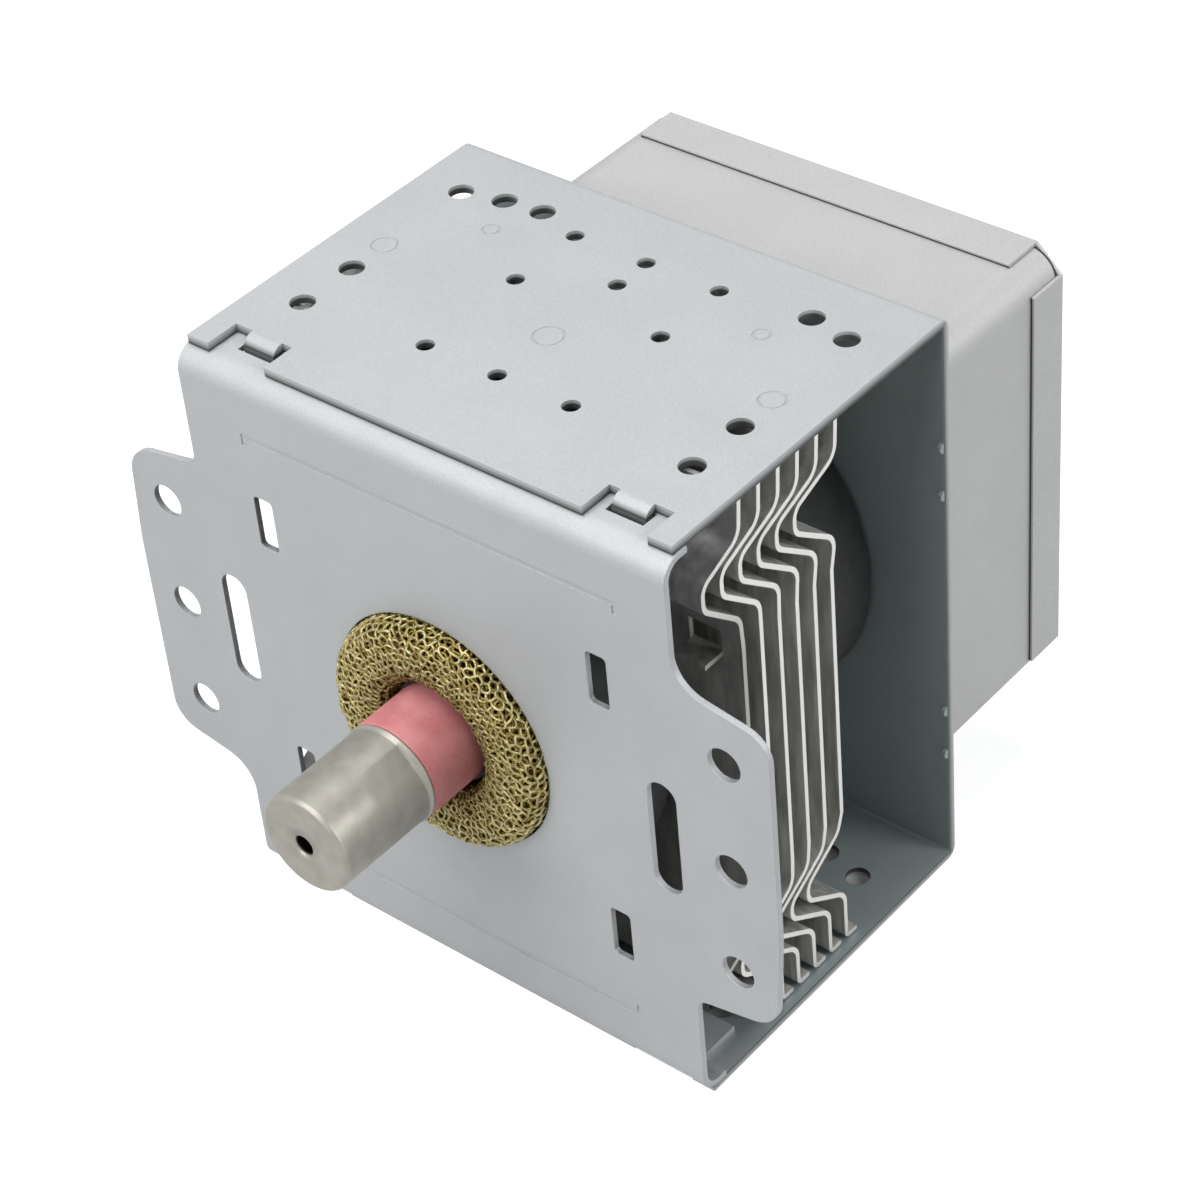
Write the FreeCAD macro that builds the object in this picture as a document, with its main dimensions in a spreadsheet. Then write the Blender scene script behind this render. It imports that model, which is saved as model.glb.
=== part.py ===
import FreeCAD, Part
import math
import os
import re

import Sketcher
from FreeCAD import Placement, Rotation, Vector

doc = FreeCAD.newDocument("magnetron")

# A magnetron in its folded steel yoke, with cooling fins and a filter box.
# The antenna axis runs along -Y through the origin, which lies in the front face
# of the mounting plate. +X is to the right and +Z is up, seen from the antenna.
# Every size is in millimetres.

DRIVING_SIZES = [
    # the folded steel of the magnetic circuit
    ("sheet_thick", 1.4, "steel of the yoke"),
    ("plate_thick", 0.9, "steel of the mounting plate"),
    ("cut_over", 1.0, "how far a cut runs past the faces that it opens"),
    ("bend_inside", 2.4, "inside radius of the mounting plate's bends"),
    ("yoke_bend", 0.3, "inside radius of the yoke's bends"),
    ("yoke_half_width", 41.0, "half the width of the yoke"),
    ("yoke_half_height", 47.7, "half the height of the yoke over its outer faces"),
    ("yoke_front", 2.4, "front edges of the yoke's two arms"),
    ("notch_inner_x", 26.9, "hook notch, side near the middle"),
    ("notch_outer_x", 37.2, "hook notch, side near the corner"),
    ("notch_depth", 5.5, "hook notch, depth from the front edge"),
    ("hook_centre_x", 31.4, "middle of a hook tab"),
    ("hook_width", 5.4, "width of a hook tab"),
    ("hook_reach", 2.1, "how far a hook tab curls forward of its notch"),
    ("hook_bend", 0.4, "inside radius of the curl"),
    ("hook_tail", 0.9, "how far the tab pokes through the flange"),
    ("hook_play", 0.3, "room beside a tab in its slot"),
    ("hook_front_play", 0.8, "room in front of a tab in its slot"),
    ("hook_back_play", 0.6, "room behind a tab in its slot"),
    # holes of the yoke's arms
    ("drilled_radius", 1.85, "larger holes of the arms"),
    ("pierced_radius", 1.3, "smaller holes of the arms"),
    ("arm_hole_x", 33.1, "outer row of larger holes"),
    ("arm_hole_front_y", 16.5, "outer row, front hole"),
    ("arm_hole_mid_y", 26.3, "outer row, middle hole"),
    ("arm_hole_back_y", 49.0, "outer row, back hole"),
    ("inner_hole_x", 26.4, "pair of larger holes near the back"),
    ("inner_hole_y", 50.5, "the same pair, from the front"),
    ("odd_hole_x", 20.0, "single larger hole beside that pair"),
    ("odd_hole_y", 51.1, "single larger hole, from the front"),
    ("pin_hole_x", 12.4, "smaller holes either side of the middle"),
    ("pin_hole_front_y", 18.0, "smaller holes, front row"),
    ("pin_hole_mid_y", 36.3, "smaller holes, middle row"),
    ("pin_hole_back_y", 48.9, "smaller holes, back row"),
    ("pin_hole_extra_y", 42.7, "single smaller hole on the middle line"),
    ("low_hole_shift", 2.0, "the lower arm's holes lie this much further forward"),
    ("coined_depth", 0.12, "depth of the coined rings"),
    ("coined_wall", 0.35, "width of the coined rings"),
    ("coined_mid_y", 28.4, "coined ring on the middle line"),
    ("coined_mid_radius", 2.3, "its outer radius"),
    ("coined_side_y", 33.0, "coined rings of the outer row"),
    ("coined_side_radius", 2.0, "their outer radius"),
    ("coined_inner_x", 23.2, "coined rings near the back"),
    ("coined_inner_y", 43.9, "the same rings, from the front"),
    ("coined_inner_radius", 1.35, "their outer radius"),
    ("nib_radius", 0.8, "stake nibs on the side edges of the yoke's back"),
    ("nib_length", 0.6, "the same nibs, along the edge's thickness"),
    ("nib_near_z", 19.2, "inner pair of nibs"),
    ("nib_far_z", 27.2, "outer pair of nibs"),
    # mounting plate
    ("plate_half_width", 41.3, "half the width of the plate between its ears"),
    ("flange_reach", 12.0, "depth of the plate's top and bottom flanges"),
    ("flange_corner_reach", 4.8, "depth of the same flanges at their corners"),
    ("ear_reach", 56.0, "outer edge of the ears from the middle"),
    ("ear_tip_z", 25.1, "half height of an ear at its outer corners"),
    ("ear_root_z", 27.6, "half height of an ear at the plate's edge"),
    ("ear_lap", 2.0, "how far an ear reaches into the plate"),
    ("ear_crown_z", 8.4, "where the ear's outer edge starts to lean"),
    ("ear_lean", 1.1, "how far the ear's large corner leans in"),
    ("ear_large_corner", 5.4, "radius of the ear's large corner"),
    ("ear_small_corner", 4.4, "radius of the ear's small corner"),
    ("ear_tight_neck", 2.2, "hollow radius beside the ear's large corner"),
    ("ear_wide_neck", 5.4, "hollow radius beside the ear's small corner"),
    ("ear_hole_edge", 7.25, "ear holes from the ear's outer edge"),
    ("ear_hole_pitch", 18.1, "ear holes apart"),
    ("ear_hole_radius", 2.6, "ear holes"),
    ("slot_x", 38.0, "upright slots from the middle"),
    ("slot_radius", 2.4, "half the width of a slot"),
    ("slot_corner", 2.39, "corners of a slot's round ends"),
    ("slot_straight", 14.3, "straight length of a slot"),
    ("window_inner_x", 27.2, "corner windows, near side"),
    ("window_width", 3.4, "corner windows"),
    ("window_low_z", 18.1, "corner windows, edge near the middle"),
    ("window_height", 8.6, "corner windows"),
    ("window_corner", 0.7, "corner windows, corner radius"),
    ("crease_z", 36.6, "pressed crease lines from the middle"),
    ("crease_left_x", 31.0, "crease line, left end"),
    ("crease_right_x", 33.2, "crease line, right end"),
    ("crease_width", 0.7, "crease line"),
    ("crease_depth", 0.15, "crease line"),
    ("crease_hook", 1.6, "how far the crease ends turn inward"),
    # gasket, antenna and its window
    ("gasket_hole_radius", 18.5, "round opening of the mounting plate"),
    ("gasket_play", 0.15, "room between that opening and the gasket"),
    ("gasket_bore_radius", 8.9, "inside of the knitted gasket"),
    ("gasket_proud", 3.1, "how far the gasket stands in front of the plate"),
    ("gasket_round", 2.9, "rounding of the gasket's front edges"),
    ("cap_radius", 7.5, "antenna cap"),
    ("cap_front", 27.7, "cap's end face in front of the plate"),
    ("cap_wall", 0.5, "drawn wall of the cap"),
    ("cap_edge", 1.2, "rounding of the cap's end"),
    ("cap_hole_radius", 1.6, "hole in the cap's end"),
    ("cap_foot_radius", 7.9, "rolled foot of the cap"),
    ("cap_foot_length", 1.3, "length of that foot"),
    ("cap_foot_front", 10.6, "where the cap stands on the ceramic"),
    ("ceramic_radius", 7.7, "ceramic window tube"),
    ("ceramic_wall", 2.6, "its wall"),
    ("ceramic_foot", 0.2, "where the ceramic stands, in front of the plate"),
    ("ceramic_edge", 0.4, "ground edge of the ceramic"),
    ("tube_radius", 3.0, "pumping tube inside the cap"),
    ("tube_wall", 0.8, "its wall"),
    ("tube_front", 22.0, "where the pinch of the tube starts"),
    ("tube_pinch", 2.2, "length of the pinch"),
    ("tube_flange", 6.6, "disc that closes the ceramic"),
    ("tube_flange_thick", 0.8, "thickness of that disc"),
    ("rod_radius", 1.1, "antenna rod"),
    ("rod_offset_x", 7.0, "where the rod meets its vane"),
    ("rod_bend_front", 3.0, "where the rod leaves the axis, behind the plate"),
    ("rod_bend_back", 15.6, "where the rod runs straight again"),
    ("rod_bend_radius", 6.0, "bends of the rod"),
    # vacuum cups, magnets, pole pieces
    ("magnet_thick", 12.25, "ring magnets"),
    ("magnet_radius", 29.0, "ring magnets"),
    ("magnet_bore", 11.0, "ring magnets"),
    ("magnet_edge", 1.0, "bevel of the magnets"),
    ("cup_radius", 8.3, "vacuum cups"),
    ("cup_wall", 0.8, "vacuum cups"),
    ("cup_flange_play", 0.2, "cup flange inside the magnet's bore"),
    ("cup_lip_radius", 6.3, "opening in the cup's end"),
    ("pole_thick", 1.6, "steel of the pole pieces"),
    ("pole_rim_play", 0.1, "pole piece inside the anode's outline"),
    ("pole_throat", 4.6, "opening at the pole piece's tip"),
    ("pole_cone_radius", 14.0, "root of the pole piece's cone"),
    ("pole_tip_radius", 7.0, "outside of the pole piece's tip"),
    ("pole_gap", 13.4, "distance between the two pole tips"),
    ("pole_hole", 1.8, "hole in the front cone for the antenna rod"),
    # anode, vanes and cathode
    ("anode_radius", 20.0, "anode cylinder"),
    ("anode_bore", 17.0, "anode cylinder"),
    ("anode_length", 30.4, "anode cylinder"),
    ("vane_count", 10, "vanes round the cathode"),
    ("vane_thick", 2.0, "a vane"),
    ("vane_height", 9.6, "a vane along the axis"),
    ("vane_tip", 4.6, "vane tips from the axis"),
    ("strap_inner", 5.4, "inner strap rings"),
    ("strap_outer", 7.4, "outer strap rings"),
    ("strap_width", 1.0, "strap rings"),
    ("strap_thick", 0.8, "strap rings along the axis"),
    ("hat_radius", 3.4, "end hats of the cathode"),
    ("hat_thick", 1.2, "end hats"),
    ("hat_play", 0.3, "centre lead in the rear hat"),
    ("coil_radius", 2.1, "heater coil over its turns"),
    ("coil_core", 1.5, "heater coil inside its turns"),
    ("coil_turns", 6, "heater coil"),
    ("lead_radius", 0.8, "heater leads"),
    ("lead_gap", 4.5, "heater leads from the axis where they leave the stem"),
    ("stem_radius", 7.2, "ceramic stem"),
    ("stem_length", 8.0, "ceramic stem"),
    ("stem_front", 2.0, "where the stem starts, behind the yoke"),
    ("lead_tail", 2.8, "heater leads past the stem"),
    # cooling fins
    ("fin_thick", 0.75, "aluminium of a fin"),
    ("fin_half_width", 39.5, "half the width of a fin"),
    ("fin_pitch", 3.8, "fins apart"),
    ("fin_count", 6, "fins on the anode"),
    ("fin_setback", 1.35, "front fin behind the anode's front edge"),
    ("fin_end_play", 0.3, "fin ends to the yoke's arms"),
    ("fin_bend", 2.6, "radius of the fin's folds"),
    ("fold_lap_top", 3.0, "upper fold starts inside the magnet's edge by"),
    ("fold_rise_top", 6.0, "upper fold, slanted run"),
    ("fold_flat_top", 4.0, "upper fold, upright run"),
    ("fold_return_top", 3.4, "upper fold, run back"),
    ("fold_depth_top", 7.3, "upper fold, forward reach"),
    ("fold_lap_low", 2.2, "front fin's lower fold starts inside the magnet's edge by"),
    ("fold_creep", 0.5, "what each further fin adds to that"),
    ("fold_rise_low", 4.6, "lower fold, slanted run"),
    ("fold_flat_low", 3.3, "lower fold, upright run"),
    ("fold_return_low", 5.2, "lower fold, run back"),
    ("fold_depth_low", 8.3, "lower fold, forward reach"),
    ("fan_set", 0.3, "past the anode the front fin leans forward above and back below"),
    ("fan_step", 0.25, "what each further fin adds the other way"),
    ("fan_start", 21.4, "from the axis to where the fins start to fan out"),
    ("top_set", 0.4, "how far the front fin's upper end is set back"),
    ("top_spread", 0.24, "what each further fin adds to that"),
    ("top_lean", 0.5, "how far the upper end leans back over its height"),
    ("foot_length", 2.8, "foot at a fin's lower end"),
    ("collar_wall", 0.6, "drawn collar of a fin"),
    ("collar_gap", 0.2, "collar to the next fin"),
    ("lance_x", 31.0, "left side of the front fin's lanced tab"),
    ("lance_width", 5.2, "width of that tab"),
    ("lance_reach", 3.6, "how far the tab stands forward"),
    ("lance_z", 18.7, "underside of the tab"),
    # filter box
    ("case_left", 31.45, "filter case, left side"),
    ("case_right", 39.55, "filter case, right side"),
    ("case_low", 29.95, "filter case, underside"),
    ("case_high", 41.25, "filter case, top"),
    ("case_depth", 28.05, "filter case, depth"),
    ("case_thick", 0.8, "sheet of the case"),
    ("lid_thick", 0.55, "sheet of its lid"),
    ("case_corner", 4.5, "outer corner radius of the case"),
    ("case_stem_play", 1.2, "hole round the stem in the case and the yoke"),
    ("lid_skirt", 6.5, "depth of the lid's folded edges"),
    ("lid_relief", 4.1, "clipped corners of the lid, where its folded edges end"),
    ("rivet_radius", 1.6, "shank of a case rivet"),
    ("rivet_head_radius", 2.4, "its heads"),
    ("rivet_head_thick", 1.0, "its heads"),
    ("rivet_spread", 17.5, "case rivets from the middle"),
    ("rivet_rise", 3.55, "lower pair above the case's underside"),
    ("rivet_drop", 11.25, "upper pair below the case's top"),
    # suppressor chokes and feed-through capacitor
    ("choke_gap", 0.3, "chokes behind the ends of the heater leads"),
    ("choke_core_radius", 1.9, "ferrite rod"),
    ("choke_radius", 3.3, "winding over its turns"),
    ("choke_groove", 0.5, "depth between two turns"),
    ("choke_turns", 8, "winding"),
    ("choke_length", 22.0, "winding"),
    ("choke_low_z", 9.0, "lower end of a winding below the axis"),
    ("core_overhang", 1.0, "ferrite rod past its winding"),
    ("tail_rise", 4.0, "how far a tail arches over its choke"),
    ("tail_bend", 1.8, "bends of the tail"),
    ("tail_radius", 0.5, "wire of the chokes"),
    ("tail_seat", 0.05, "tail above the lead that it is welded to"),
    ("block_half_width", 12.0, "capacitor block"),
    ("block_half_depth", 6.5, "capacitor block"),
    ("block_setback", 4.0, "capacitor block in front of the chokes"),
    ("block_corner", 6.37, "corners of the capacitor block"),
    ("block_inside", 8.0, "capacitor block inside the case"),
    ("block_outside", 7.0, "capacitor block below the case"),
    ("block_play", 0.2, "capacitor block in its openings"),
    ("bracket_half_width", 18.0, "bracket that holds the block"),
    ("bracket_half_depth", 8.0, "the same bracket"),
    ("bracket_thick", 1.0, "the same bracket"),
    ("bracket_corner", 2.6, "the same bracket"),
    ("bracket_rivet_x", 15.0, "bracket rivets"),
    ("bracket_rivet_radius", 1.4, "bracket rivets"),
    ("bracket_head_radius", 2.4, "bracket rivet heads"),
    ("blade_width", 6.3, "push-on terminals"),
    ("blade_thick", 0.8, "push-on terminals"),
    ("blade_length", 7.6, "push-on terminals below the block"),
    ("blade_root", 3.0, "push-on terminals inside the block"),
    ("blade_hole", 0.9, "hole in a terminal"),
    ("blade_hole_drop", 4.6, "that hole below the block"),
]

sizes = doc.addObject("Spreadsheet::Sheet", "Sizes")
for row, (alias, amount, note) in enumerate(DRIVING_SIZES, start=1):
    sizes.set("A%d" % row, note)
    sizes.set("B%d" % row, str(amount))
    sizes.setAlias("B%d" % row, alias)
doc.recompute()

# Places that follow from the sizes: the stack along the axis, front to back.
YOKE_ROOF = "(yoke_half_height - sheet_thick)"
FLANGE_ROOF = "(yoke_half_height - sheet_thick - plate_thick)"
BEND_OUTSIDE = "(bend_inside + plate_thick)"
POLE_FRONT = "(plate_thick + magnet_thick)"
ANODE_FRONT = "(plate_thick + magnet_thick + pole_thick)"
ANODE_BACK = "(%s + anode_length)" % ANODE_FRONT
POLE_BACK = "(%s + pole_thick)" % ANODE_BACK
YOKE_INNER_BACK = "(%s + magnet_thick)" % POLE_BACK
YOKE_BACK = "(%s + sheet_thick)" % YOKE_INNER_BACK
TUBE_MIDDLE = "(%s + anode_length / 2)" % ANODE_FRONT
STEM_FRONT = "(%s + stem_front)" % YOKE_BACK
STEM_BACK = "(%s + stem_length)" % STEM_FRONT
CASE_BACK = "(%s + case_depth)" % YOKE_BACK
LEAD_END = "(%s + lead_tail)" % STEM_BACK
CHOKE_Y = "(%s + choke_gap + choke_radius)" % LEAD_END
BLOCK_Y = "(%s - block_setback)" % CHOKE_Y

# The way each origin plane faces along its world axis.
FACING = {"XY_Plane": 1, "XZ_Plane": -1, "YZ_Plane": 1}

# Where the crest of a wound wire starts and ends, as shares of one turn.
CREST_START = 0.3
CREST_END = 0.7

subparts = []


def bound(formula):
    """Point each size that a formula names at its cell."""
    return re.sub(r"\b[a-z]+(?:_[a-z]+)+\b", lambda found: "Sizes." + found.group(0), str(formula))


def number(formula):
    """Give a formula's present value in millimetres."""
    return float(sizes.evalExpression(bound(formula)))


def hold(sketch, kind, place, formula):
    """Add a dimension to a sketch and bind it to its formula."""
    index = sketch.addConstraint(Sketcher.Constraint(kind, *place, number(formula)))
    sketch.setExpression("Constraints[%d]" % index, bound(formula))


def pin_point(sketch, geometry, end, x, y):
    """Give one point of a sketch its two coordinates."""
    hold(sketch, "DistanceX", (-1, 1, geometry, end), x)
    hold(sketch, "DistanceY", (-1, 1, geometry, end), y)


def chain(sketch, corners, closed=True):
    """Draw straight edges through the corners, given as (x, y) or (x, y, radius)."""
    spots = [Vector(number(corner[0]), number(corner[1]), 0) for corner in corners]
    count = len(corners)
    starts = list(spots)
    ends = list(spots)
    arcs = {}
    for index, corner in enumerate(corners):
        if len(corner) < 3:
            continue
        here = spots[index]
        to_last = (spots[index - 1] - here).normalize()
        to_next = (spots[(index + 1) % count] - here).normalize()
        half_angle = to_last.getAngle(to_next) / 2
        radius = number(corner[2])
        ends[index] = here + to_last * (radius / math.tan(half_angle))
        starts[index] = here + to_next * (radius / math.tan(half_angle))
        inward = (to_last + to_next).normalize()
        middle = here + inward * (radius / math.sin(half_angle) - radius)
        arcs[index] = Part.Arc(ends[index], middle, starts[index])
    edge_count = count if closed else count - 1
    lines = []
    for index in range(edge_count):
        after = (index + 1) % count
        lines.append(sketch.addGeometry(Part.LineSegment(starts[index], ends[after])))
    for index, corner in enumerate(corners):
        if index in arcs:
            arc = sketch.addGeometry(arcs[index])
            begins = 1 if (sketch.getPoint(arc, 1) - ends[index]).Length < 1e-6 else 2
            before = lines[index - 1]
            sketch.addConstraint(Sketcher.Constraint("Tangent", before, 2, arc, begins))
            sketch.addConstraint(Sketcher.Constraint("Tangent", arc, 3 - begins, lines[index], 1))
            hold(sketch, "Radius", (arc,), corner[2])
            mark = sketch.addGeometry(Part.Point(spots[index]), True)
            sketch.addConstraint(Sketcher.Constraint("PointOnObject", mark, 1, before))
            sketch.addConstraint(Sketcher.Constraint("PointOnObject", mark, 1, lines[index]))
            pin_point(sketch, mark, 1, corner[0], corner[1])
        elif index < edge_count:
            if closed or index > 0:
                sketch.addConstraint(
                    Sketcher.Constraint("Coincident", lines[index - 1], 2, lines[index], 1))
            pin_point(sketch, lines[index], 1, corner[0], corner[1])
        else:
            pin_point(sketch, lines[-1], 2, corner[0], corner[1])


def ring(sketch, x, y, radius):
    """Draw a circle."""
    circle = sketch.addGeometry(Part.Circle(Vector(number(x), number(y), 0), Vector(0, 0, 1), number(radius)))
    pin_point(sketch, circle, 3, x, y)
    hold(sketch, "Radius", (circle,), radius)


def new_body(label):
    """Start a sub-part made of sketched features."""
    body = doc.addObject("PartDesign::Body", label)
    body.Label = label
    body.Placement = Placement()
    subparts.append(body)
    return body


def keep(feature, label):
    """Finish a sub-part that is made of plain solids."""
    feature.Label = label
    subparts.append(feature)
    return feature


def new_sketch(body, role, name, start="0"):
    """Lay a sketch on one of the body's planes, moved along the world axis to start."""
    plane = next(item for item in body.Origin.OriginFeatures if item.Role == role)
    sketch = body.newObject("Sketcher::SketchObject", name)
    sketch.AttachmentSupport = [(plane, "")]
    sketch.MapMode = "FlatFace"
    sketch.setExpression("AttachmentOffset.Base.z", bound("%d * (%s)" % (FACING[role], start)))
    return sketch


def draw(sketch, chains, rings):
    """Fill a sketch with closed chains and circles."""
    for corners in chains:
        chain(sketch, corners)
    for x, y, radius in rings:
        ring(sketch, x, y, radius)


def add_slab(body, role, name, start, end, chains=(), rings=()):
    """Add material between two positions along the axis that the plane faces."""
    sketch = new_sketch(body, role, name + "_sketch", start)
    draw(sketch, chains, rings)
    pad = body.newObject("PartDesign::Pad", name)
    pad.Profile = sketch
    pad.Reversed = FACING[role] < 0
    pad.setExpression("Length", bound("(%s) - (%s)" % (end, start)))
    return pad


def cut_slab(body, role, name, start, end, chains=(), rings=()):
    """Take material away between two positions along the axis that the plane faces."""
    sketch = new_sketch(body, role, name + "_sketch", start)
    draw(sketch, chains, rings)
    pocket = body.newObject("PartDesign::Pocket", name)
    pocket.Profile = sketch
    pocket.Reversed = FACING[role] > 0
    pocket.setExpression("Length", bound("(%s) - (%s)" % (end, start)))
    return pocket


def turned(label, corners):
    """Turn a closed profile of (y, radius) corners about the antenna axis."""
    body = new_body(label)
    sketch = new_sketch(body, "YZ_Plane", label + "_profile")
    chain(sketch, corners)
    turn = body.newObject("PartDesign::Revolution", label + "_turned")
    turn.Profile = sketch
    turn.ReferenceAxis = (sketch, ["H_Axis"])
    turn.Angle = 360
    return body


def box(low_x, high_x, low_z, high_z, corner=None):
    """Corners of an upright rectangle, rounded where a corner radius is given."""
    spots = [(low_x, low_z), (high_x, low_z), (high_x, high_z), (low_x, high_z)]
    return [spot + (corner,) for spot in spots] if corner else spots


def clipped_box(low_x, high_x, low_z, high_z, clip):
    """Corners of an upright rectangle whose corners are cut off at 45 degrees."""
    return [
        ("%s + %s" % (low_x, clip), low_z),
        ("%s - %s" % (high_x, clip), low_z),
        (high_x, "%s + %s" % (low_z, clip)),
        (high_x, "%s - %s" % (high_z, clip)),
        ("%s - %s" % (high_x, clip), high_z),
        ("%s + %s" % (low_x, clip), high_z),
        (low_x, "%s - %s" % (high_z, clip)),
        (low_x, "%s + %s" % (low_z, clip)),
    ]


def upright_slot(x, z, radius, straight):
    """Corners of an upright slot with nearly round ends."""
    left = "(%s) - %s" % (x, radius)
    right = "(%s) + %s" % (x, radius)
    low = "(%s) - %s / 2 - %s" % (z, straight, radius)
    high = "(%s) + %s / 2 + %s" % (z, straight, radius)
    return box(left, right, low, high, "slot_corner")


def both(amount):
    """The same size on the left and on the right."""
    return ("-(%s)" % amount, "(%s)" % amount)


def wire_solid(points, bends, radius):
    """Carry a round section along straight runs joined by arcs."""
    spots = [Vector(*(number(part) for part in point)) for point in points]
    edges = []
    begin = spots[0]
    for index in range(1, len(spots) - 1):
        here = spots[index]
        to_last = (spots[index - 1] - here).normalize()
        to_next = (spots[index + 1] - here).normalize()
        half_angle = to_last.getAngle(to_next) / 2
        bend = number(bends)
        setback = bend / math.tan(half_angle)
        first = here + to_last * setback
        last = here + to_next * setback
        inward = (to_last + to_next).normalize()
        middle = here + inward * (bend / math.sin(half_angle) - bend)
        edges.append(Part.LineSegment(begin, first).toShape())
        edges.append(Part.Arc(first, middle, last).toShape())
        begin = last
    edges.append(Part.LineSegment(begin, spots[-1]).toShape())
    path = Part.Wire(edges)
    section = Part.Wire([Part.Circle(spots[0], spots[1] - spots[0], number(radius)).toShape()])
    return path.makePipeShell([section], True, False)


def shaped(label, shape, place=Vector(0, 0, 0)):
    """A sub-part whose shape is worked out from the sheet's sizes."""
    feature = doc.addObject("Part::Feature", label)
    feature.Shape = shape
    feature.Placement = Placement(place, Rotation())
    return keep(feature, label)


# Yoke: one folded strip, open at the front and at both sides.
def make_yoke():
    yoke = new_body("yoke_frame")
    strip = [
        ("yoke_front", "yoke_half_height"),
        (YOKE_BACK, "yoke_half_height", "yoke_bend + sheet_thick"),
        (YOKE_BACK, "-yoke_half_height", "yoke_bend + sheet_thick"),
        ("yoke_front", "-yoke_half_height"),
        ("yoke_front", "-" + YOKE_ROOF),
        (YOKE_INNER_BACK, "-" + YOKE_ROOF, "yoke_bend"),
        (YOKE_INNER_BACK, YOKE_ROOF, "yoke_bend"),
        ("yoke_front", YOKE_ROOF),
    ]
    add_slab(yoke, "YZ_Plane", "yoke_strip", "-yoke_half_width", "yoke_half_width", [strip])
    notch_back = "(yoke_front + notch_depth)"
    notches = [
        box("-notch_outer_x", "-notch_inner_x", "0", notch_back),
        box("notch_inner_x", "notch_outer_x", "0", notch_back),
    ]
    cut_slab(yoke, "XY_Plane", "yoke_notches", "-yoke_half_height - cut_over",
             "yoke_half_height + cut_over", notches)
    for side, sign in (("top", ""), ("low", "-")):
        curl_front = "(%s - hook_reach)" % notch_back
        curl = [
            (notch_back + " + sheet_thick", sign + "yoke_half_height"),
            (curl_front, sign + "yoke_half_height", "hook_bend + sheet_thick"),
            (curl_front, sign + "(%s - hook_tail)" % FLANGE_ROOF),
            (curl_front + " + sheet_thick", sign + "(%s - hook_tail)" % FLANGE_ROOF),
            (curl_front + " + sheet_thick", sign + YOKE_ROOF, "hook_bend"),
            (notch_back + " + sheet_thick", sign + YOKE_ROOF),
        ]
        for hand, centre in (("left", "-hook_centre_x"), ("right", "hook_centre_x")):
            add_slab(yoke, "YZ_Plane", "hook_%s_%s" % (side, hand), centre + " - hook_width / 2",
                     centre + " + hook_width / 2", [curl])
    cut_slab(yoke, "XY_Plane", "top_holes", YOKE_ROOF + " - cut_over", "yoke_half_height + cut_over",
             rings=arm_holes("0"))
    cut_slab(yoke, "XY_Plane", "low_holes", "-yoke_half_height - cut_over", "-%s + cut_over" % YOKE_ROOF,
             rings=arm_holes("low_hole_shift"))
    circles = [("0", "coined_mid_y", "coined_mid_radius")]
    circles += [(x, "coined_side_y", "coined_side_radius") for x in both("arm_hole_x")]
    circles += [(x, "coined_inner_y", "coined_inner_radius") for x in both("coined_inner_x")]
    rings = circles + [(x, y, radius + " - coined_wall") for x, y, radius in circles]
    cut_slab(yoke, "XY_Plane", "coined_top", "yoke_half_height - coined_depth", "yoke_half_height + cut_over",
             rings=rings)
    stem_hole = [("0", "0", "stem_radius + case_stem_play")]
    cut_slab(yoke, "XZ_Plane", "stem_hole", YOKE_INNER_BACK + " - cut_over",
             YOKE_BACK + " + cut_over", rings=stem_hole)
    rivets = [(x, z, "rivet_radius") for x, z in rivet_spots()]
    cut_slab(yoke, "XZ_Plane", "rivet_holes", YOKE_INNER_BACK + " - cut_over",
             YOKE_BACK + " + cut_over", rings=rivets)
    nibs = [(YOKE_INNER_BACK, z, "nib_radius") for z in
            ("-nib_far_z", "-nib_near_z", "nib_near_z", "nib_far_z")]
    add_slab(yoke, "YZ_Plane", "nibs_right", "yoke_half_width - nib_length", "yoke_half_width", rings=nibs)
    add_slab(yoke, "YZ_Plane", "nibs_left", "-yoke_half_width", "-yoke_half_width + nib_length", rings=nibs)


def arm_holes(shift):
    """The holes of one arm, moved forward by shift."""
    large = [(x, y, "drilled_radius") for x in both("arm_hole_x")
             for y in ("arm_hole_front_y", "arm_hole_mid_y", "arm_hole_back_y")]
    large += [(x, "inner_hole_y", "drilled_radius") for x in both("inner_hole_x")]
    large.append(("-odd_hole_x", "odd_hole_y", "drilled_radius"))
    small = [(x, y, "pierced_radius") for x in both("pin_hole_x")
             for y in ("pin_hole_front_y", "pin_hole_mid_y", "pin_hole_back_y")]
    small += [("0", y, "pierced_radius")
              for y in ("pin_hole_front_y", "pin_hole_extra_y", "pin_hole_back_y")]
    return [(x, "%s - %s" % (y, shift), radius) for x, y, radius in large + small]


def rivet_spots():
    """The four rivets that hold the filter case, as (x, z)."""
    return [(x, z) for x in both("rivet_spread")
            for z in ("-case_low + rivet_rise", "case_high - rivet_drop")]


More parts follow.
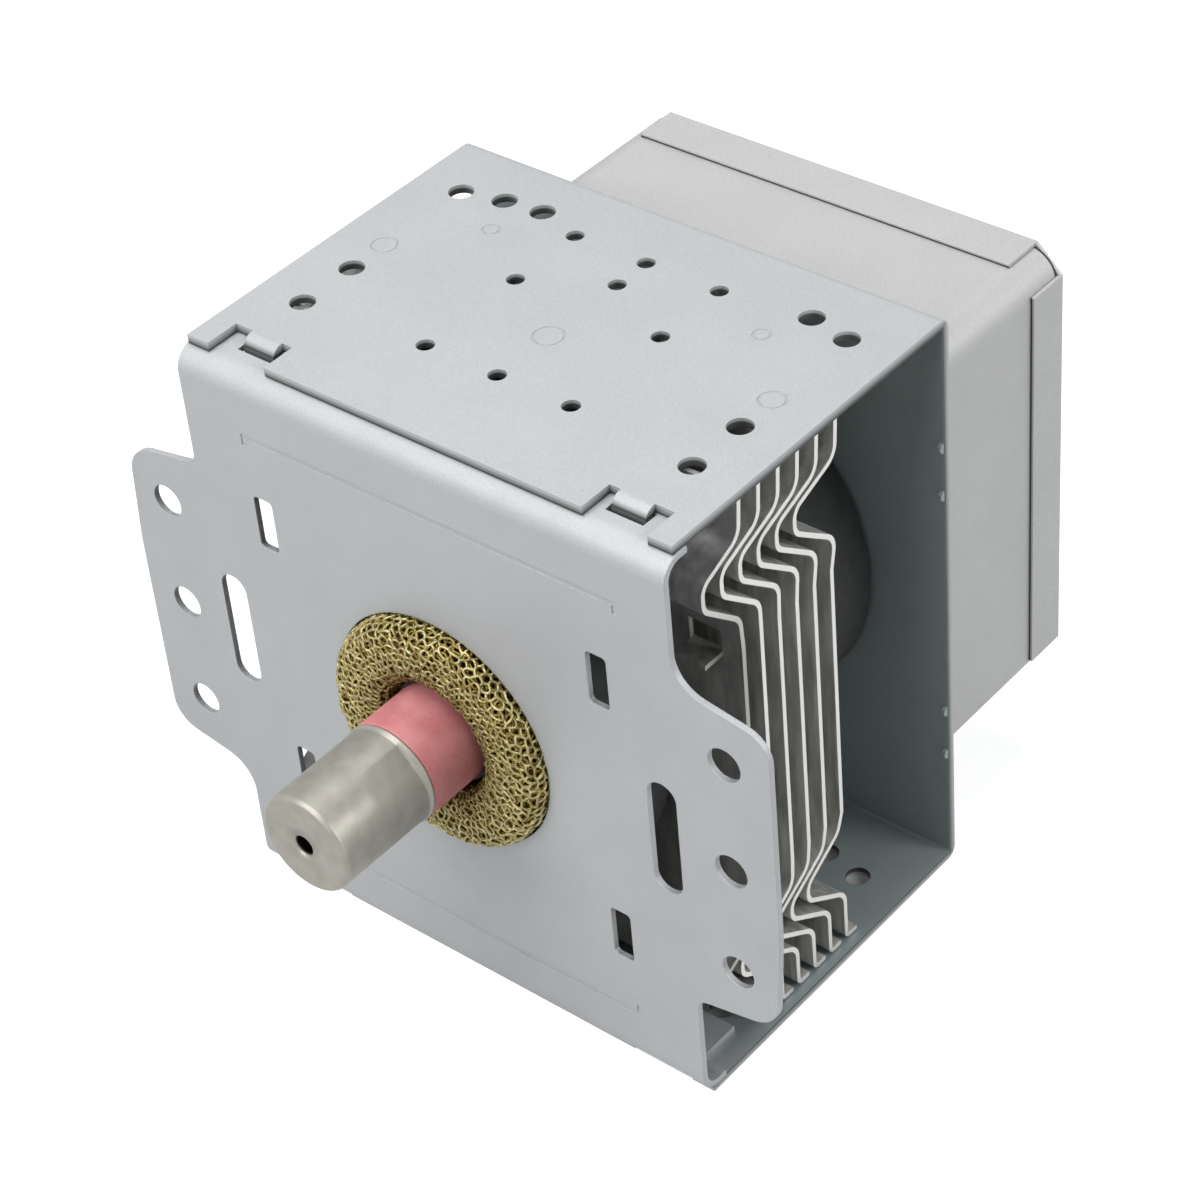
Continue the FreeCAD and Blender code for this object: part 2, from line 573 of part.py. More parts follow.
# Mounting plate: a pressed plate with two ears, folded back at the top and the bottom.
def make_mounting_plate():
    plate = new_body("mounting_plate")
    section = [
        ("flange_reach", YOKE_ROOF),
        ("0", YOKE_ROOF, BEND_OUTSIDE),
        ("0", "-" + YOKE_ROOF, BEND_OUTSIDE),
        ("flange_reach", "-" + YOKE_ROOF),
        ("flange_reach", "-" + FLANGE_ROOF),
        ("plate_thick", "-" + FLANGE_ROOF, "bend_inside"),
        ("plate_thick", FLANGE_ROOF, "bend_inside"),
        ("flange_reach", FLANGE_ROOF),
    ]
    add_slab(plate, "YZ_Plane", "folded_plate", "-plate_half_width", "plate_half_width", [section])
    for hand, sign in (("left", "-"), ("right", "")):
        other = "" if sign else "-"
        ear = [
            (sign + "(plate_half_width - ear_lap)", other + "(ear_root_z + 2 * ear_tight_neck)"),
            (sign + "plate_half_width", other + "(ear_root_z + 2 * ear_tight_neck)"),
            (sign + "plate_half_width", other + "ear_root_z", "ear_tight_neck"),
            (sign + "(ear_reach - ear_lean)", other + "ear_tip_z", "ear_large_corner"),
            (sign + "ear_reach", other + "ear_crown_z", "ear_reach"),
            (sign + "ear_reach", sign + "ear_tip_z", "ear_small_corner"),
            (sign + "plate_half_width", sign + "ear_root_z", "ear_wide_neck"),
            (sign + "plate_half_width", sign + "(ear_root_z + 2 * ear_wide_neck)"),
            (sign + "(plate_half_width - ear_lap)", sign + "(ear_root_z + 2 * ear_wide_neck)"),
        ]
        add_slab(plate, "XZ_Plane", "ear_" + hand, "0", "plate_thick", [ear])
    openings = [(x, z, "ear_hole_radius") for x in both("ear_reach - ear_hole_edge")
                for z in ("-ear_hole_pitch", "0", "ear_hole_pitch")]
    openings.append(("0", "0", "gasket_hole_radius"))
    cut_slab(plate, "XZ_Plane", "round_holes", "-cut_over", "plate_thick + cut_over", rings=openings)
    windows = []
    for x_low, x_high in (("-window_inner_x - window_width", "-window_inner_x"),
                          ("window_inner_x", "window_inner_x + window_width")):
        for z_low, z_high in (("-window_low_z - window_height", "-window_low_z"),
                              ("window_low_z", "window_low_z + window_height")):
            windows.append(box(x_low, x_high, z_low, z_high, "window_corner"))
    cut_slab(plate, "XZ_Plane", "windows", "-cut_over", "plate_thick + cut_over", windows)
    slots = [upright_slot(x, "0", "slot_radius", "slot_straight") for x in both("slot_x")]
    cut_slab(plate, "XZ_Plane", "slots", "-cut_over", "plate_thick + cut_over", slots)
    creases = []
    for sign, other in (("", "-"), ("-", "")):
        creases.append([
            (other + "crease_left_x", sign + "(crease_z + crease_width / 2)", "crease_width / 2"),
            (sign + "crease_right_x", sign + "(crease_z + crease_width / 2)", "crease_width / 2"),
            (sign + "crease_right_x", sign + "(crease_z - crease_hook)"),
            (sign + "(crease_right_x - crease_width)", sign + "(crease_z - crease_hook)"),
            (sign + "(crease_right_x - crease_width)", sign + "(crease_z - crease_width / 2)"),
            (other + "(crease_left_x - crease_width)", sign + "(crease_z - crease_width / 2)"),
            (other + "(crease_left_x - crease_width)", sign + "(crease_z - crease_hook)"),
            (other + "crease_left_x", sign + "(crease_z - crease_hook)"),
        ])
    cut_slab(plate, "XZ_Plane", "creases", "-cut_over", "crease_depth", creases)
    slot_front = "(yoke_front + notch_depth - hook_reach - hook_front_play)"
    slot_back = "(yoke_front + notch_depth - hook_reach + sheet_thick + hook_back_play)"
    cuts = []
    for sign in ("-", ""):
        near = sign + "(hook_centre_x - hook_width / 2 - hook_play)"
        far = sign + "(hook_centre_x + hook_width / 2 + hook_play)"
        cuts.append(box(near, far, slot_front, slot_back))
        cuts.append(box(sign + "notch_outer_x", sign + "(plate_half_width + cut_over)",
                        "flange_corner_reach", "flange_reach + cut_over"))
    cut_slab(plate, "XY_Plane", "flange_cuts", "-yoke_half_height", "yoke_half_height", cuts)


# Gasket: a soft knitted ring that fills the plate's opening and rests on the front magnet.
def make_gasket():
    outside = "(gasket_hole_radius - gasket_play)"
    turned("rf_gasket", [
        ("plate_thick", "gasket_bore_radius"),
        ("-gasket_proud", "gasket_bore_radius", "gasket_round"),
        ("-gasket_proud", outside, "gasket_round"),
        ("plate_thick", outside),
    ])


# Antenna: cap, ceramic window, pumping tube and rod, all about the axis.
def make_antenna():
    foot_back = "-cap_foot_front"
    foot_front = "(-cap_foot_front - cap_foot_length)"
    turned("antenna_cap", [
        (foot_back, "cap_foot_radius"),
        (foot_front, "cap_foot_radius", "cap_wall"),
        (foot_front + " - cap_wall", "cap_radius"),
        ("-cap_front", "cap_radius", "cap_edge"),
        ("-cap_front", "cap_hole_radius"),
        ("-cap_front + cap_wall", "cap_hole_radius"),
        ("-cap_front + cap_wall", "cap_radius - cap_wall", "cap_edge - cap_wall"),
        (foot_back, "cap_radius - cap_wall"),
    ])
    turned("antenna_insulator", [
        (foot_back, "ceramic_radius - ceramic_wall"),
        (foot_back, "ceramic_radius", "ceramic_edge"),
        ("-ceramic_foot", "ceramic_radius", "ceramic_edge"),
        ("-ceramic_foot", "ceramic_radius - ceramic_wall"),
    ])
    disc_front = "(-cap_foot_front - tube_flange_thick)"
    turned("pumping_tube", [
        (foot_back, "tube_radius - tube_wall"),
        (foot_back, "tube_flange"),
        (disc_front, "tube_flange"),
        (disc_front, "tube_radius"),
        ("-tube_front", "tube_radius"),
        ("-tube_front - tube_pinch", "tube_wall"),
        ("-tube_front - tube_pinch", "0"),
        ("-tube_front", "0"),
        ("-tube_front", "tube_radius - tube_wall"),
    ])
    vane_front = TUBE_MIDDLE + " - vane_height / 2"
    route = [
        ("0", "-tube_front", "0"),
        ("0", "rod_bend_front", "0"),
        ("rod_offset_x", "rod_bend_back", "0"),
        ("rod_offset_x", vane_front, "0"),
    ]
    shaped("antenna_rod", wire_solid(route, "rod_bend_radius", "rod_radius"))


# Ends of the vacuum tube. The back end mirrors the front one about the tube's middle.
def make_tube_end(name, flip):
    def at(formula):
        return "(2 * %s - (%s))" % (TUBE_MIDDLE, formula) if flip else formula

    turned(name + "_magnet", [
        (at("plate_thick"), "magnet_bore"),
        (at("plate_thick"), "magnet_radius - magnet_edge"),
        (at("plate_thick + magnet_edge"), "magnet_radius"),
        (at(POLE_FRONT + " - magnet_edge"), "magnet_radius"),
        (at(POLE_FRONT), "magnet_radius - magnet_edge"),
        (at(POLE_FRONT), "magnet_bore"),
    ])
    tip = "(%s - pole_gap / 2)" % TUBE_MIDDLE
    pole = turned(name + "_pole_piece", [
        (at(POLE_FRONT), "cup_radius"),
        (at(POLE_FRONT), "anode_radius - pole_rim_play"),
        (at(ANODE_FRONT), "anode_radius - pole_rim_play"),
        (at(ANODE_FRONT), "pole_cone_radius"),
        (at(tip), "pole_tip_radius"),
        (at(tip), "pole_throat"),
        (at(tip + " - pole_thick"), "pole_throat"),
        (at(ANODE_FRONT), "pole_cone_radius - 2 * pole_thick"),
    ])
    return pole


def make_front_end():
    pole = make_tube_end("front", False)
    cut_slab(pole, "XZ_Plane", "rod_hole", POLE_FRONT, TUBE_MIDDLE,
             rings=[("rod_offset_x", "0", "pole_hole")])
    lip_front = "-ceramic_foot"
    turned("front_seal_cup", [
        (lip_front, "cup_lip_radius"),
        (lip_front, "cup_radius", "cup_wall / 2"),
        (POLE_FRONT + " - cup_wall", "cup_radius"),
        (POLE_FRONT + " - cup_wall", "magnet_bore - cup_flange_play"),
        (POLE_FRONT, "magnet_bore - cup_flange_play"),
        (POLE_FRONT, "cup_radius - cup_wall"),
        (lip_front + " + cup_wall", "cup_radius - cup_wall"),
        (lip_front + " + cup_wall", "cup_lip_radius"),
    ])


def make_back_end():
    make_tube_end("rear", True)
    rear_flange = "magnet_bore - cup_flange_play"
    turned("rear_seal_cup", [
        (STEM_FRONT, "cup_lip_radius"),
        (STEM_FRONT, "stem_radius", "cup_wall / 2"),
        (POLE_BACK + " + cup_wall", "stem_radius"),
        (POLE_BACK + " + cup_wall", rear_flange),
        (POLE_BACK, rear_flange),
        (POLE_BACK, "stem_radius - cup_wall"),
        (STEM_FRONT + " - cup_wall", "stem_radius - cup_wall"),
        (STEM_FRONT + " - cup_wall", "cup_lip_radius"),
    ])
    stem = turned("stem_insulator", [
        (STEM_FRONT, "0"),
        (STEM_FRONT, "stem_radius", "ceramic_edge"),
        (STEM_BACK, "stem_radius", "ceramic_edge"),
        (STEM_BACK, "0"),
    ])
    bores = [(x, "0", "lead_radius") for x in both("lead_gap")]
    cut_slab(stem, "XZ_Plane", "lead_bores", STEM_FRONT + " - cut_over", STEM_BACK + " + cut_over", rings=bores)


# Anode: the copper cylinder, its vanes and the rings that strap every second vane.
def make_anode():
    turned("anode_cylinder", [
        (ANODE_FRONT, "anode_bore"),
        (ANODE_FRONT, "anode_radius"),
        (ANODE_BACK, "anode_radius"),
        (ANODE_BACK, "anode_bore"),
    ])
    height = number("vane_height")
    front = number(TUBE_MIDDLE) - height / 2
    reach = number("anode_bore")
    thick = number("vane_thick")
    inner = Part.makeCylinder(number("anode_bore"), height, Vector(0, front, 0), Vector(0, 1, 0))
    inner = inner.cut(Part.makeCylinder(number("vane_tip"), height, Vector(0, front, 0), Vector(0, 1, 0)))
    for inside in ("strap_inner", "strap_outer"):
        for start in (front, front + height - number("strap_thick")):
            inner = inner.cut(strap(inside, start))
    vanes = []
    count = int(number("vane_count"))
    for index in range(count):
        blank = Part.makeBox(reach, height, thick, Vector(0, front, -thick / 2))
        blank.rotate(Vector(0, 0, 0), Vector(0, 1, 0), -360.0 * index / count)
        vanes.append(blank.common(inner))
    shaped("anode_vanes", Part.makeCompound([solid for vane in vanes for solid in vane.Solids]))
    rings = [strap(inside, start) for inside in ("strap_inner", "strap_outer")
             for start in (front, front + height - number("strap_thick"))]
    shaped("strap_rings", Part.makeCompound(rings))


def strap(inside, start):
    """One flat ring let into the edges of the vanes."""
    thick = number("strap_thick")
    outer = Part.makeCylinder(number(inside + " + strap_width"), thick, Vector(0, start, 0), Vector(0, 1, 0))
    return outer.cut(Part.makeCylinder(number(inside), thick, Vector(0, start, 0), Vector(0, 1, 0)))


# Cathode: a heater coil held between two end hats, on two leads through the stem.
def make_cathode():
    hat_gap = "(vane_height + 2 * hat_thick) / 2"
    coil_front = "(%s - (%s) + hat_thick)" % (TUBE_MIDDLE, hat_gap)
    coil_back = "(%s + (%s) - hat_thick)" % (TUBE_MIDDLE, hat_gap)
    ridged_sleeve("heater_coil", coil_front, coil_back, "coil_core", "coil_radius", "coil_turns")
    for name, start in (("front_end_hat", coil_front + " - hat_thick"), ("rear_end_hat", coil_back)):
        hat = turned(name, [
            (start, "0"),
            (start, "hat_radius"),
            (start + " + hat_thick", "hat_radius"),
            (start + " + hat_thick", "0"),
        ])
        if name == "rear_end_hat":
            bore = [("0", "0", "lead_radius + hat_play")]
            cut_slab(hat, "XZ_Plane", "centre_bore", start + " - cut_over",
                     start + " + hat_thick + cut_over", rings=bore)
    spread = POLE_BACK
    rest = YOKE_INNER_BACK
    centre_lead = [
        ("0", coil_front, "0"),
        ("0", spread, "0"),
        ("lead_gap", rest, "0"),
        ("lead_gap", LEAD_END, "0"),
    ]
    side_lead = [
        ("-hat_radius + lead_radius", coil_back + " + hat_thick", "0"),
        ("-hat_radius + lead_radius", spread, "0"),
        ("-lead_gap", rest, "0"),
        ("-lead_gap", LEAD_END, "0"),
    ]
    leads = [wire_solid(route, "tail_bend", "lead_radius") for route in (centre_lead, side_lead)]
    shaped("heater_leads", Part.makeCompound(leads))


def ridged_sleeve(label, start, end, inside, outside, turns):
    """A close winding, as a turned sleeve with one ridge for each turn."""
    first = number(start)
    last = number(end)
    count = int(number(turns))
    pitch = (last - first) / count
    inner = number(inside)
    outer = number(outside)
    valley = (inner + outer) / 2
    points = [Vector(0, first, inner), Vector(0, first, valley)]
    for index in range(count):
        points.append(Vector(0, first + pitch * (index + CREST_START), outer))
        points.append(Vector(0, first + pitch * (index + CREST_END), outer))
        points.append(Vector(0, first + pitch * (index + 1), valley))
    points += [Vector(0, last, inner), Vector(0, first, inner)]
    face = Part.Face(Part.makePolygon(points))
    shaped(label, face.revolve(Vector(0, 0, 0), Vector(0, 1, 0), 360))


# Cooling fins: folded sheets pushed on to the anode by a drawn collar.
def make_fin(index):
    label = "cooling_fin_%d" % (index + 1)
    plane_y = "(%s + fin_setback + %d * fin_pitch)" % (ANODE_FRONT, index)
    top_y = "(%s + top_set + %d * top_spread)" % (plane_y, index)
    fan = "(%d * fan_step - fan_set)" % index
    end_z = "(%s - fin_end_play)" % YOKE_ROOF
    top = "magnet_radius - fold_lap_top"
    low = "magnet_radius - fold_lap_low - %d * fold_creep" % index
    fold = [
        (plane_y + " + foot_length", "-%s" % end_z),
        (plane_y, "-%s" % end_z, "fin_bend / 2"),
        (plane_y, "-(%s + fold_rise_low + fold_flat_low + fold_return_low)" % low, "fin_bend"),
        (plane_y + " - fold_depth_low", "-(%s + fold_rise_low + fold_flat_low)" % low, "fin_bend"),
        (plane_y + " - fold_depth_low", "-(%s + fold_rise_low)" % low, "fin_bend"),
        (plane_y + " - " + fan, "-(%s)" % low, "fin_bend"),
        (plane_y, "-fan_start"),
        (plane_y, "fan_start"),
        (plane_y + " + " + fan, top, "fin_bend"),
        (plane_y + " - fold_depth_top", top + " + fold_rise_top", "fin_bend"),
        (plane_y + " - fold_depth_top", top + " + fold_rise_top + fold_flat_top", "fin_bend"),
        (top_y, top + " + fold_rise_top + fold_flat_top + fold_return_top", "fin_bend"),
        (top_y + " + top_lean", end_z),
    ]
    line = doc.addObject("Sketcher::SketchObject", label + "_fold")
    line.Placement = Placement(Vector(0, 0, 0), Rotation(Vector(1, 1, 1), 120))
    chain(line, fold, closed=False)
    skin = doc.addObject("Part::Offset2D", label + "_skin")
    skin.Source = line
    skin.Fill = True
    skin.Mode = "Skin"
    skin.Join = "Intersection"
    skin.setExpression("Value", bound("fin_thick"))
    sheet = doc.addObject("Part::Extrusion", label + "_sheet")
    sheet.Base = skin
    sheet.DirMode = "Custom"
    sheet.Dir = Vector(1, 0, 0)
    sheet.setExpression("LengthFwd", bound("fin_half_width"))
    sheet.setExpression("LengthRev", bound("fin_half_width"))
    collar = cylinder(label + "_collar", plane_y, "fin_pitch - collar_gap", "anode_radius + collar_wall")
    joined = doc.addObject("Part::Fuse", label + "_joined")
    joined.Base = sheet
    joined.Tool = collar
    anode = cylinder(label + "_seat", plane_y + " - fin_pitch", "3 * fin_pitch", "anode_radius")
    fin = doc.addObject("Part::Cut", label if index else label + "_pierced")
    fin.Base = joined
    fin.Tool = anode
    if index:
        return keep(fin, label)
    return make_lanced_fin(label, fin, plane_y)


def cylinder(name, start, length, radius):
    """A plain cylinder about the antenna axis."""
    made = doc.addObject("Part::Cylinder", name)
    made.Placement = Placement(Vector(0, 0, 0), Rotation(Vector(1, 0, 0), -90))
    made.setExpression("Placement.Base.y", bound(start))
    made.setExpression("Height", bound(length))
    made.setExpression("Radius", bound(radius))
    return made


def block(name, low_x, low_y, low_z, size_x, size_y, size_z):
    """A plain block from its lowest corner and its three lengths."""
    made = doc.addObject("Part::Box", name)
    for field, formula in (("Placement.Base.x", low_x), ("Placement.Base.y", low_y),
                           ("Placement.Base.z", low_z), ("Length", size_x),
                           ("Width", size_y), ("Height", size_z)):
        made.setExpression(field, bound(formula))
    return made


def make_lanced_fin(label, fin, plane_y):
    """The front fin also has a small tab, cut on three sides and bent forward."""
    opening = block(label + "_lance", "lance_x", plane_y + " - cut_over", "lance_z + fin_thick",
                    "lance_width", "2 * cut_over", "lance_reach")
    pierced = doc.addObject("Part::Cut", label + "_lanced")
    pierced.Base = fin
    pierced.Tool = opening
    tab = block(label + "_tab", "lance_x", plane_y + " - lance_reach", "lance_z",
                "lance_width", "lance_reach", "fin_thick")
    whole = doc.addObject("Part::Fuse", label)
    whole.Base = pierced
    whole.Tool = tab
    return keep(whole, label)


# Filter box: a drawn case riveted to the yoke, closed by a folded lid.
def make_filter_box():
    case = new_body("filter_case")
    outline = box("-case_left", "case_right", "-case_low", "case_high", "case_corner")
    add_slab(case, "XZ_Plane", "case_block", YOKE_BACK, CASE_BACK, [outline])
    hollow = box("-case_left + case_thick", "case_right - case_thick", "-case_low + case_thick",
                 "case_high - case_thick", "case_corner - case_thick")
    cut_slab(case, "XZ_Plane", "case_hollow", YOKE_BACK + " + case_thick", CASE_BACK + " + cut_over", [hollow])
    floor_holes = [(x, z, "rivet_radius") for x, z in rivet_spots()]
    floor_holes.append(("0", "0", "stem_radius + case_stem_play"))
    cut_slab(case, "XZ_Plane", "case_holes", YOKE_BACK + " - cut_over", YOKE_BACK + " + case_thick + cut_over",
             rings=floor_holes)
    cut_slab(case, "XY_Plane", "block_opening", "-case_low - cut_over", "-case_low + case_thick + cut_over",
             [block_outline("block_play")], bracket_rivets("bracket_rivet_radius"))

    lid = new_body("filter_lid")
    skin = "lid_thick"
    left = "(-case_left - %s)" % skin
    right = "(case_right + %s)" % skin
    low = "(-case_low - %s)" % skin
    high = "(case_high + %s)" % skin
    plate = clipped_box(left, right, low, high, "lid_relief")
    add_slab(lid, "XZ_Plane", "lid_plate", CASE_BACK, CASE_BACK + " + " + skin, [plate])
    skirts = [
        box(left + " + lid_relief", right + " - lid_relief", "case_high", high),
        box(left + " + lid_relief", right + " - lid_relief", low, "-case_low"),
        box(left, "-case_left", low + " + lid_relief", high + " - lid_relief"),
        box("case_right", right, low + " + lid_relief", high + " - lid_relief"),
    ]
    add_slab(lid, "XZ_Plane", "lid_skirts", CASE_BACK + " - lid_skirt", CASE_BACK, skirts)

    case_floor = YOKE_BACK + " + case_thick"
    rivets = [rivet(Vector(number(x), 0, number(z)), Vector(0, 1, 0), YOKE_INNER_BACK, case_floor,
                    "rivet_radius", "rivet_head_radius") for x, z in rivet_spots()]
    shaped("case_rivets", Part.makeCompound(rivets))


def rivet(spot, along, front, back, shank_radius, head_radius):
    """A rivet in one solid: its shank and a round head past each end."""
    radius = number(shank_radius)
    wide = number(head_radius)
    head = number("rivet_head_thick")
    first = number(front)
    last = number(back)
    shank = Part.makeCylinder(radius, last - first, spot + along * first, along)
    near = Part.makeCone(radius, wide, head, spot + along * (first - head), along)
    far = Part.makeCone(wide, radius, head, spot + along * last, along)
    return shank.fuse([near, far]).removeSplitter()


# Feed-through capacitor: the block in the underside of the case and what it carries.
def block_outline(play):
    """The capacitor block's outline in plan, grown by some play."""
    return box("-block_half_width - %s" % play, "block_half_width + %s" % play,
               "%s - block_half_depth - %s" % (BLOCK_Y, play),
               "%s + block_half_depth + %s" % (BLOCK_Y, play),
               "block_corner")


def bracket_rivets(radius):
    """The two rivets of the capacitor's bracket, as circles in plan."""
    return [(x, BLOCK_Y, radius) for x in both("bracket_rivet_x")]


def make_capacitor():
    top = "-case_low + block_inside"
    bottom = "-case_low - block_outside"
    bracket_low = "-case_low - bracket_thick"
    body = new_body("capacitor_block")
    add_slab(body, "XY_Plane", "block_solid", bottom, top, [block_outline("0")])
    blades = [blade_outline(x) for x in both("lead_gap + blade_thick")]
    cut_slab(body, "XY_Plane", "blade_slots", bottom + " - cut_over", bottom + " + blade_root", blades)
    pins = [(x, CHOKE_Y, "tail_radius") for x in both("lead_gap")]
    cut_slab(body, "XY_Plane", "pin_bores", top + " - blade_root", top + " + cut_over", rings=pins)

    bracket = new_body("capacitor_bracket")
    outline = box("-bracket_half_width", "bracket_half_width",
                  BLOCK_Y + " - bracket_half_depth", BLOCK_Y + " + bracket_half_depth",
                  "bracket_corner")
    add_slab(bracket, "XY_Plane", "bracket_plate", bracket_low, "-case_low", [outline])
    cut_slab(bracket, "XY_Plane", "bracket_opening", bracket_low + " - cut_over", "-case_low + cut_over",
             [block_outline("block_play")], bracket_rivets("bracket_rivet_radius"))

    place_y = number(BLOCK_Y)
    rivets = [rivet(Vector(number(x), place_y, 0), Vector(0, 0, 1), bracket_low, "-case_low + case_thick",
                    "bracket_rivet_radius", "bracket_head_radius") for x in both("bracket_rivet_x")]
    shaped("bracket_rivets", Part.makeCompound(rivets))

    terminals = []
    for x in both("lead_gap + blade_thick"):
        corners = [Vector(number(px), number(py), number(bottom) + number("blade_root"))
                   for px, py in blade_outline(x)]
        face = Part.Face(Part.makePolygon(corners + corners[:1]))
        blade = face.extrude(Vector(0, 0, -number("blade_root + blade_length")))
        hole_start = Vector(number(x) - number("cut_over"), place_y, number(bottom) - number("blade_hole_drop"))
        hole = Part.makeCylinder(number("blade_hole"), 2 * number("cut_over"), hole_start, Vector(1, 0, 0))
        terminals.append(blade.cut(hole))
    shaped("terminal_blades", Part.makeCompound(terminals))


def blade_outline(x):
    """A terminal's thin outline in plan."""
    return box("%s - blade_thick / 2" % x, "%s + blade_thick / 2" % x,
               "%s - blade_width / 2" % BLOCK_Y, "%s + blade_width / 2" % BLOCK_Y)


# Chokes: two ferrite rods with close windings, each tail joined to a heater lead.
def make_chokes():
    coil_low = "-choke_low_z"
    coil_high = "(-choke_low_z + choke_length)"
    count = int(number("choke_turns"))
    pitch = number("choke_length") / count
    inner = number("choke_core_radius")
    outer = number("choke_radius")
    valley = outer - number("choke_groove")
    low = number(coil_low)
    profile = [Vector(inner, 0, low), Vector(valley, 0, low)]
    for index in range(count):
        profile.append(Vector(outer, 0, low + pitch * (index + CREST_START)))
        profile.append(Vector(outer, 0, low + pitch * (index + CREST_END)))
        profile.append(Vector(valley, 0, low + pitch * (index + 1)))
    profile += [Vector(inner, 0, number(coil_high)), Vector(inner, 0, low)]
    face = Part.Face(Part.makePolygon(profile))
    coil = face.revolve(Vector(0, 0, 0), Vector(0, 0, 1), 360)
    tail_y = LEAD_END + " - 2 * tail_radius"
    block_top = "-case_low + block_inside"
    for hand, x in (("left", "-lead_gap"), ("right", "lead_gap")):
        spot = Vector(number(x), number(CHOKE_Y), 0)
        shaped("choke_winding_" + hand, coil, spot)
        core = doc.addObject("Part::Cylinder", "choke_core_" + hand)
        core.setExpression("Radius", bound("choke_core_radius"))
        core.setExpression("Height", bound("choke_length + 2 * core_overhang"))
        core.setExpression("Placement.Base.x", bound(x))
        core.setExpression("Placement.Base.y", bound(CHOKE_Y))
        core.setExpression("Placement.Base.z", bound(coil_low + " - core_overhang"))
        keep(core, "choke_core_" + hand)
    tails = []
    for x in both("lead_gap"):
        ridge = "(%s + choke_core_radius + tail_radius)" % CHOKE_Y
        start = [
            (x, tail_y, "lead_radius + tail_seat"),
            (x, tail_y, coil_high + " + tail_rise"),
            (x, ridge, coil_high + " + tail_rise"),
            (x, ridge, coil_high),
        ]
        tails.append(wire_solid(start, "tail_bend", "tail_radius"))
        pin = [(x, CHOKE_Y, block_top + " - blade_root"), (x, CHOKE_Y, coil_low + " - core_overhang")]
        tails.append(wire_solid(pin, "tail_bend", "tail_radius"))
    shaped("choke_tails", Part.makeCompound(tails))


def write_parts():
    """Test every object, then write each sub-part to its own file."""
    doc.recompute()
    failed = [item.Name for item in doc.Objects if "Invalid" in item.State or "Error" in item.State]
    if failed:
        raise RuntimeError("objects that did not build: " + ", ".join(failed))
    for part in subparts:
        if part.Shape.isNull() or not part.Shape.isValid():
            raise RuntimeError("bad shape: " + part.Label)
    os.makedirs("parts", exist_ok=True)
    for part in subparts:
        part.Shape.exportStep("parts/%s.step" % part.Label)
        print("%-22s %2d solids %10.1f mm3" % (part.Label, len(part.Shape.Solids), part.Shape.Volume))


make_mounting_plate()
make_yoke()
make_gasket()
make_antenna()
make_front_end()
make_back_end()
make_anode()
make_cathode()
for fin_index in range(int(number("fin_count"))):
    make_fin(fin_index)
make_filter_box()
make_capacitor()
make_chokes()
write_parts()
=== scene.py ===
# %% [markdown]
# # Dressing a magnetron
#
# A magnetron is the tube that makes the microwaves in an oven. The fixed frame already holds its plates,
# fins, magnets and filter box as solids. This lesson gives each of them the finish of the real metal or
# ceramic, and makes anew the few pieces whose surface no plain solid can show: the knitted gasket, the
# pressed cap and the wound chokes.

# %% Load the solids and remember their box
import math

import bpy
import numpy as np
from mathutils import Matrix, Vector


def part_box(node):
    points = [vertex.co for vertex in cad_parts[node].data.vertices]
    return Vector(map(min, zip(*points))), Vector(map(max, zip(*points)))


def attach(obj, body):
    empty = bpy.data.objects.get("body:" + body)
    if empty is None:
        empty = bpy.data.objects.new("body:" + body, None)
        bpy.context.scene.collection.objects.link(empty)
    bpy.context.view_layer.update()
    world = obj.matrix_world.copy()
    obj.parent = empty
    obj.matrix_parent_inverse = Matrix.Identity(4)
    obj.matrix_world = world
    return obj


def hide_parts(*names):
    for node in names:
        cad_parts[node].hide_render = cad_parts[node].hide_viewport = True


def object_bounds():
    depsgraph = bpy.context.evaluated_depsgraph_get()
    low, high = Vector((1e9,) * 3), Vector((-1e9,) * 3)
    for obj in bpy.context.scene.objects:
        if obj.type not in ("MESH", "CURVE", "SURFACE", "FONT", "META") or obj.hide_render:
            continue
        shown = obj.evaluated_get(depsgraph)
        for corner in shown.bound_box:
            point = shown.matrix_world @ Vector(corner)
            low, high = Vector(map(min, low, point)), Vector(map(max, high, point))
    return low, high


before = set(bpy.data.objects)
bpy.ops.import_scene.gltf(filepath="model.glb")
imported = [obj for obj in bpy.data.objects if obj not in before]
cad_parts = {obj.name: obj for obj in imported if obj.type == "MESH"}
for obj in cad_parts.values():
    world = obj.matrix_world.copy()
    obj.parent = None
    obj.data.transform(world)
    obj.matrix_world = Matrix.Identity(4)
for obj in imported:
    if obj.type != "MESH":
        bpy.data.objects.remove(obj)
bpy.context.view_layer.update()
MM = 0.001

# %% [markdown]
# ## The camera
#
# The picture is taken from the front, the right and above. A camera can be turned by angles, but a view
# that was fitted to a picture comes as three directions: the picture's right, its down and its depth, the
# rows below. Blender looks along its own -Z with +Y up, so the columns of the camera's matrix are right,
# minus down and minus depth.

# %% Camera
PICTURE_RIGHT = Vector((0.77311271, 0.62979588, -0.07519234))
PICTURE_DOWN = Vector((0.35157084, -0.52418064, -0.77564979))
PICTURE_DEPTH = Vector((-0.52791541, 0.57322928, -0.62666858))
CAMERA_PLACE = Vector((250.28, -238.41, 297.01)) * MM
SENSOR_WIDE, LENS_LONG, NEAREST_SEEN = 36.0, 101.33, 0.01

camera = bpy.data.objects.new("camera", bpy.data.cameras.new("camera"))
bpy.context.scene.collection.objects.link(camera)
camera.data.sensor_width = SENSOR_WIDE
camera.data.lens = LENS_LONG
camera.data.clip_start = NEAREST_SEEN
turn = Matrix((PICTURE_RIGHT, -PICTURE_DOWN, -PICTURE_DEPTH)).transposed()
camera.matrix_world = Matrix.Translation(CAMERA_PLACE) @ turn.to_4x4()
bpy.context.scene.camera = camera
print("camera stands", round(CAMERA_PLACE.length, 3), "m from the antenna's root")

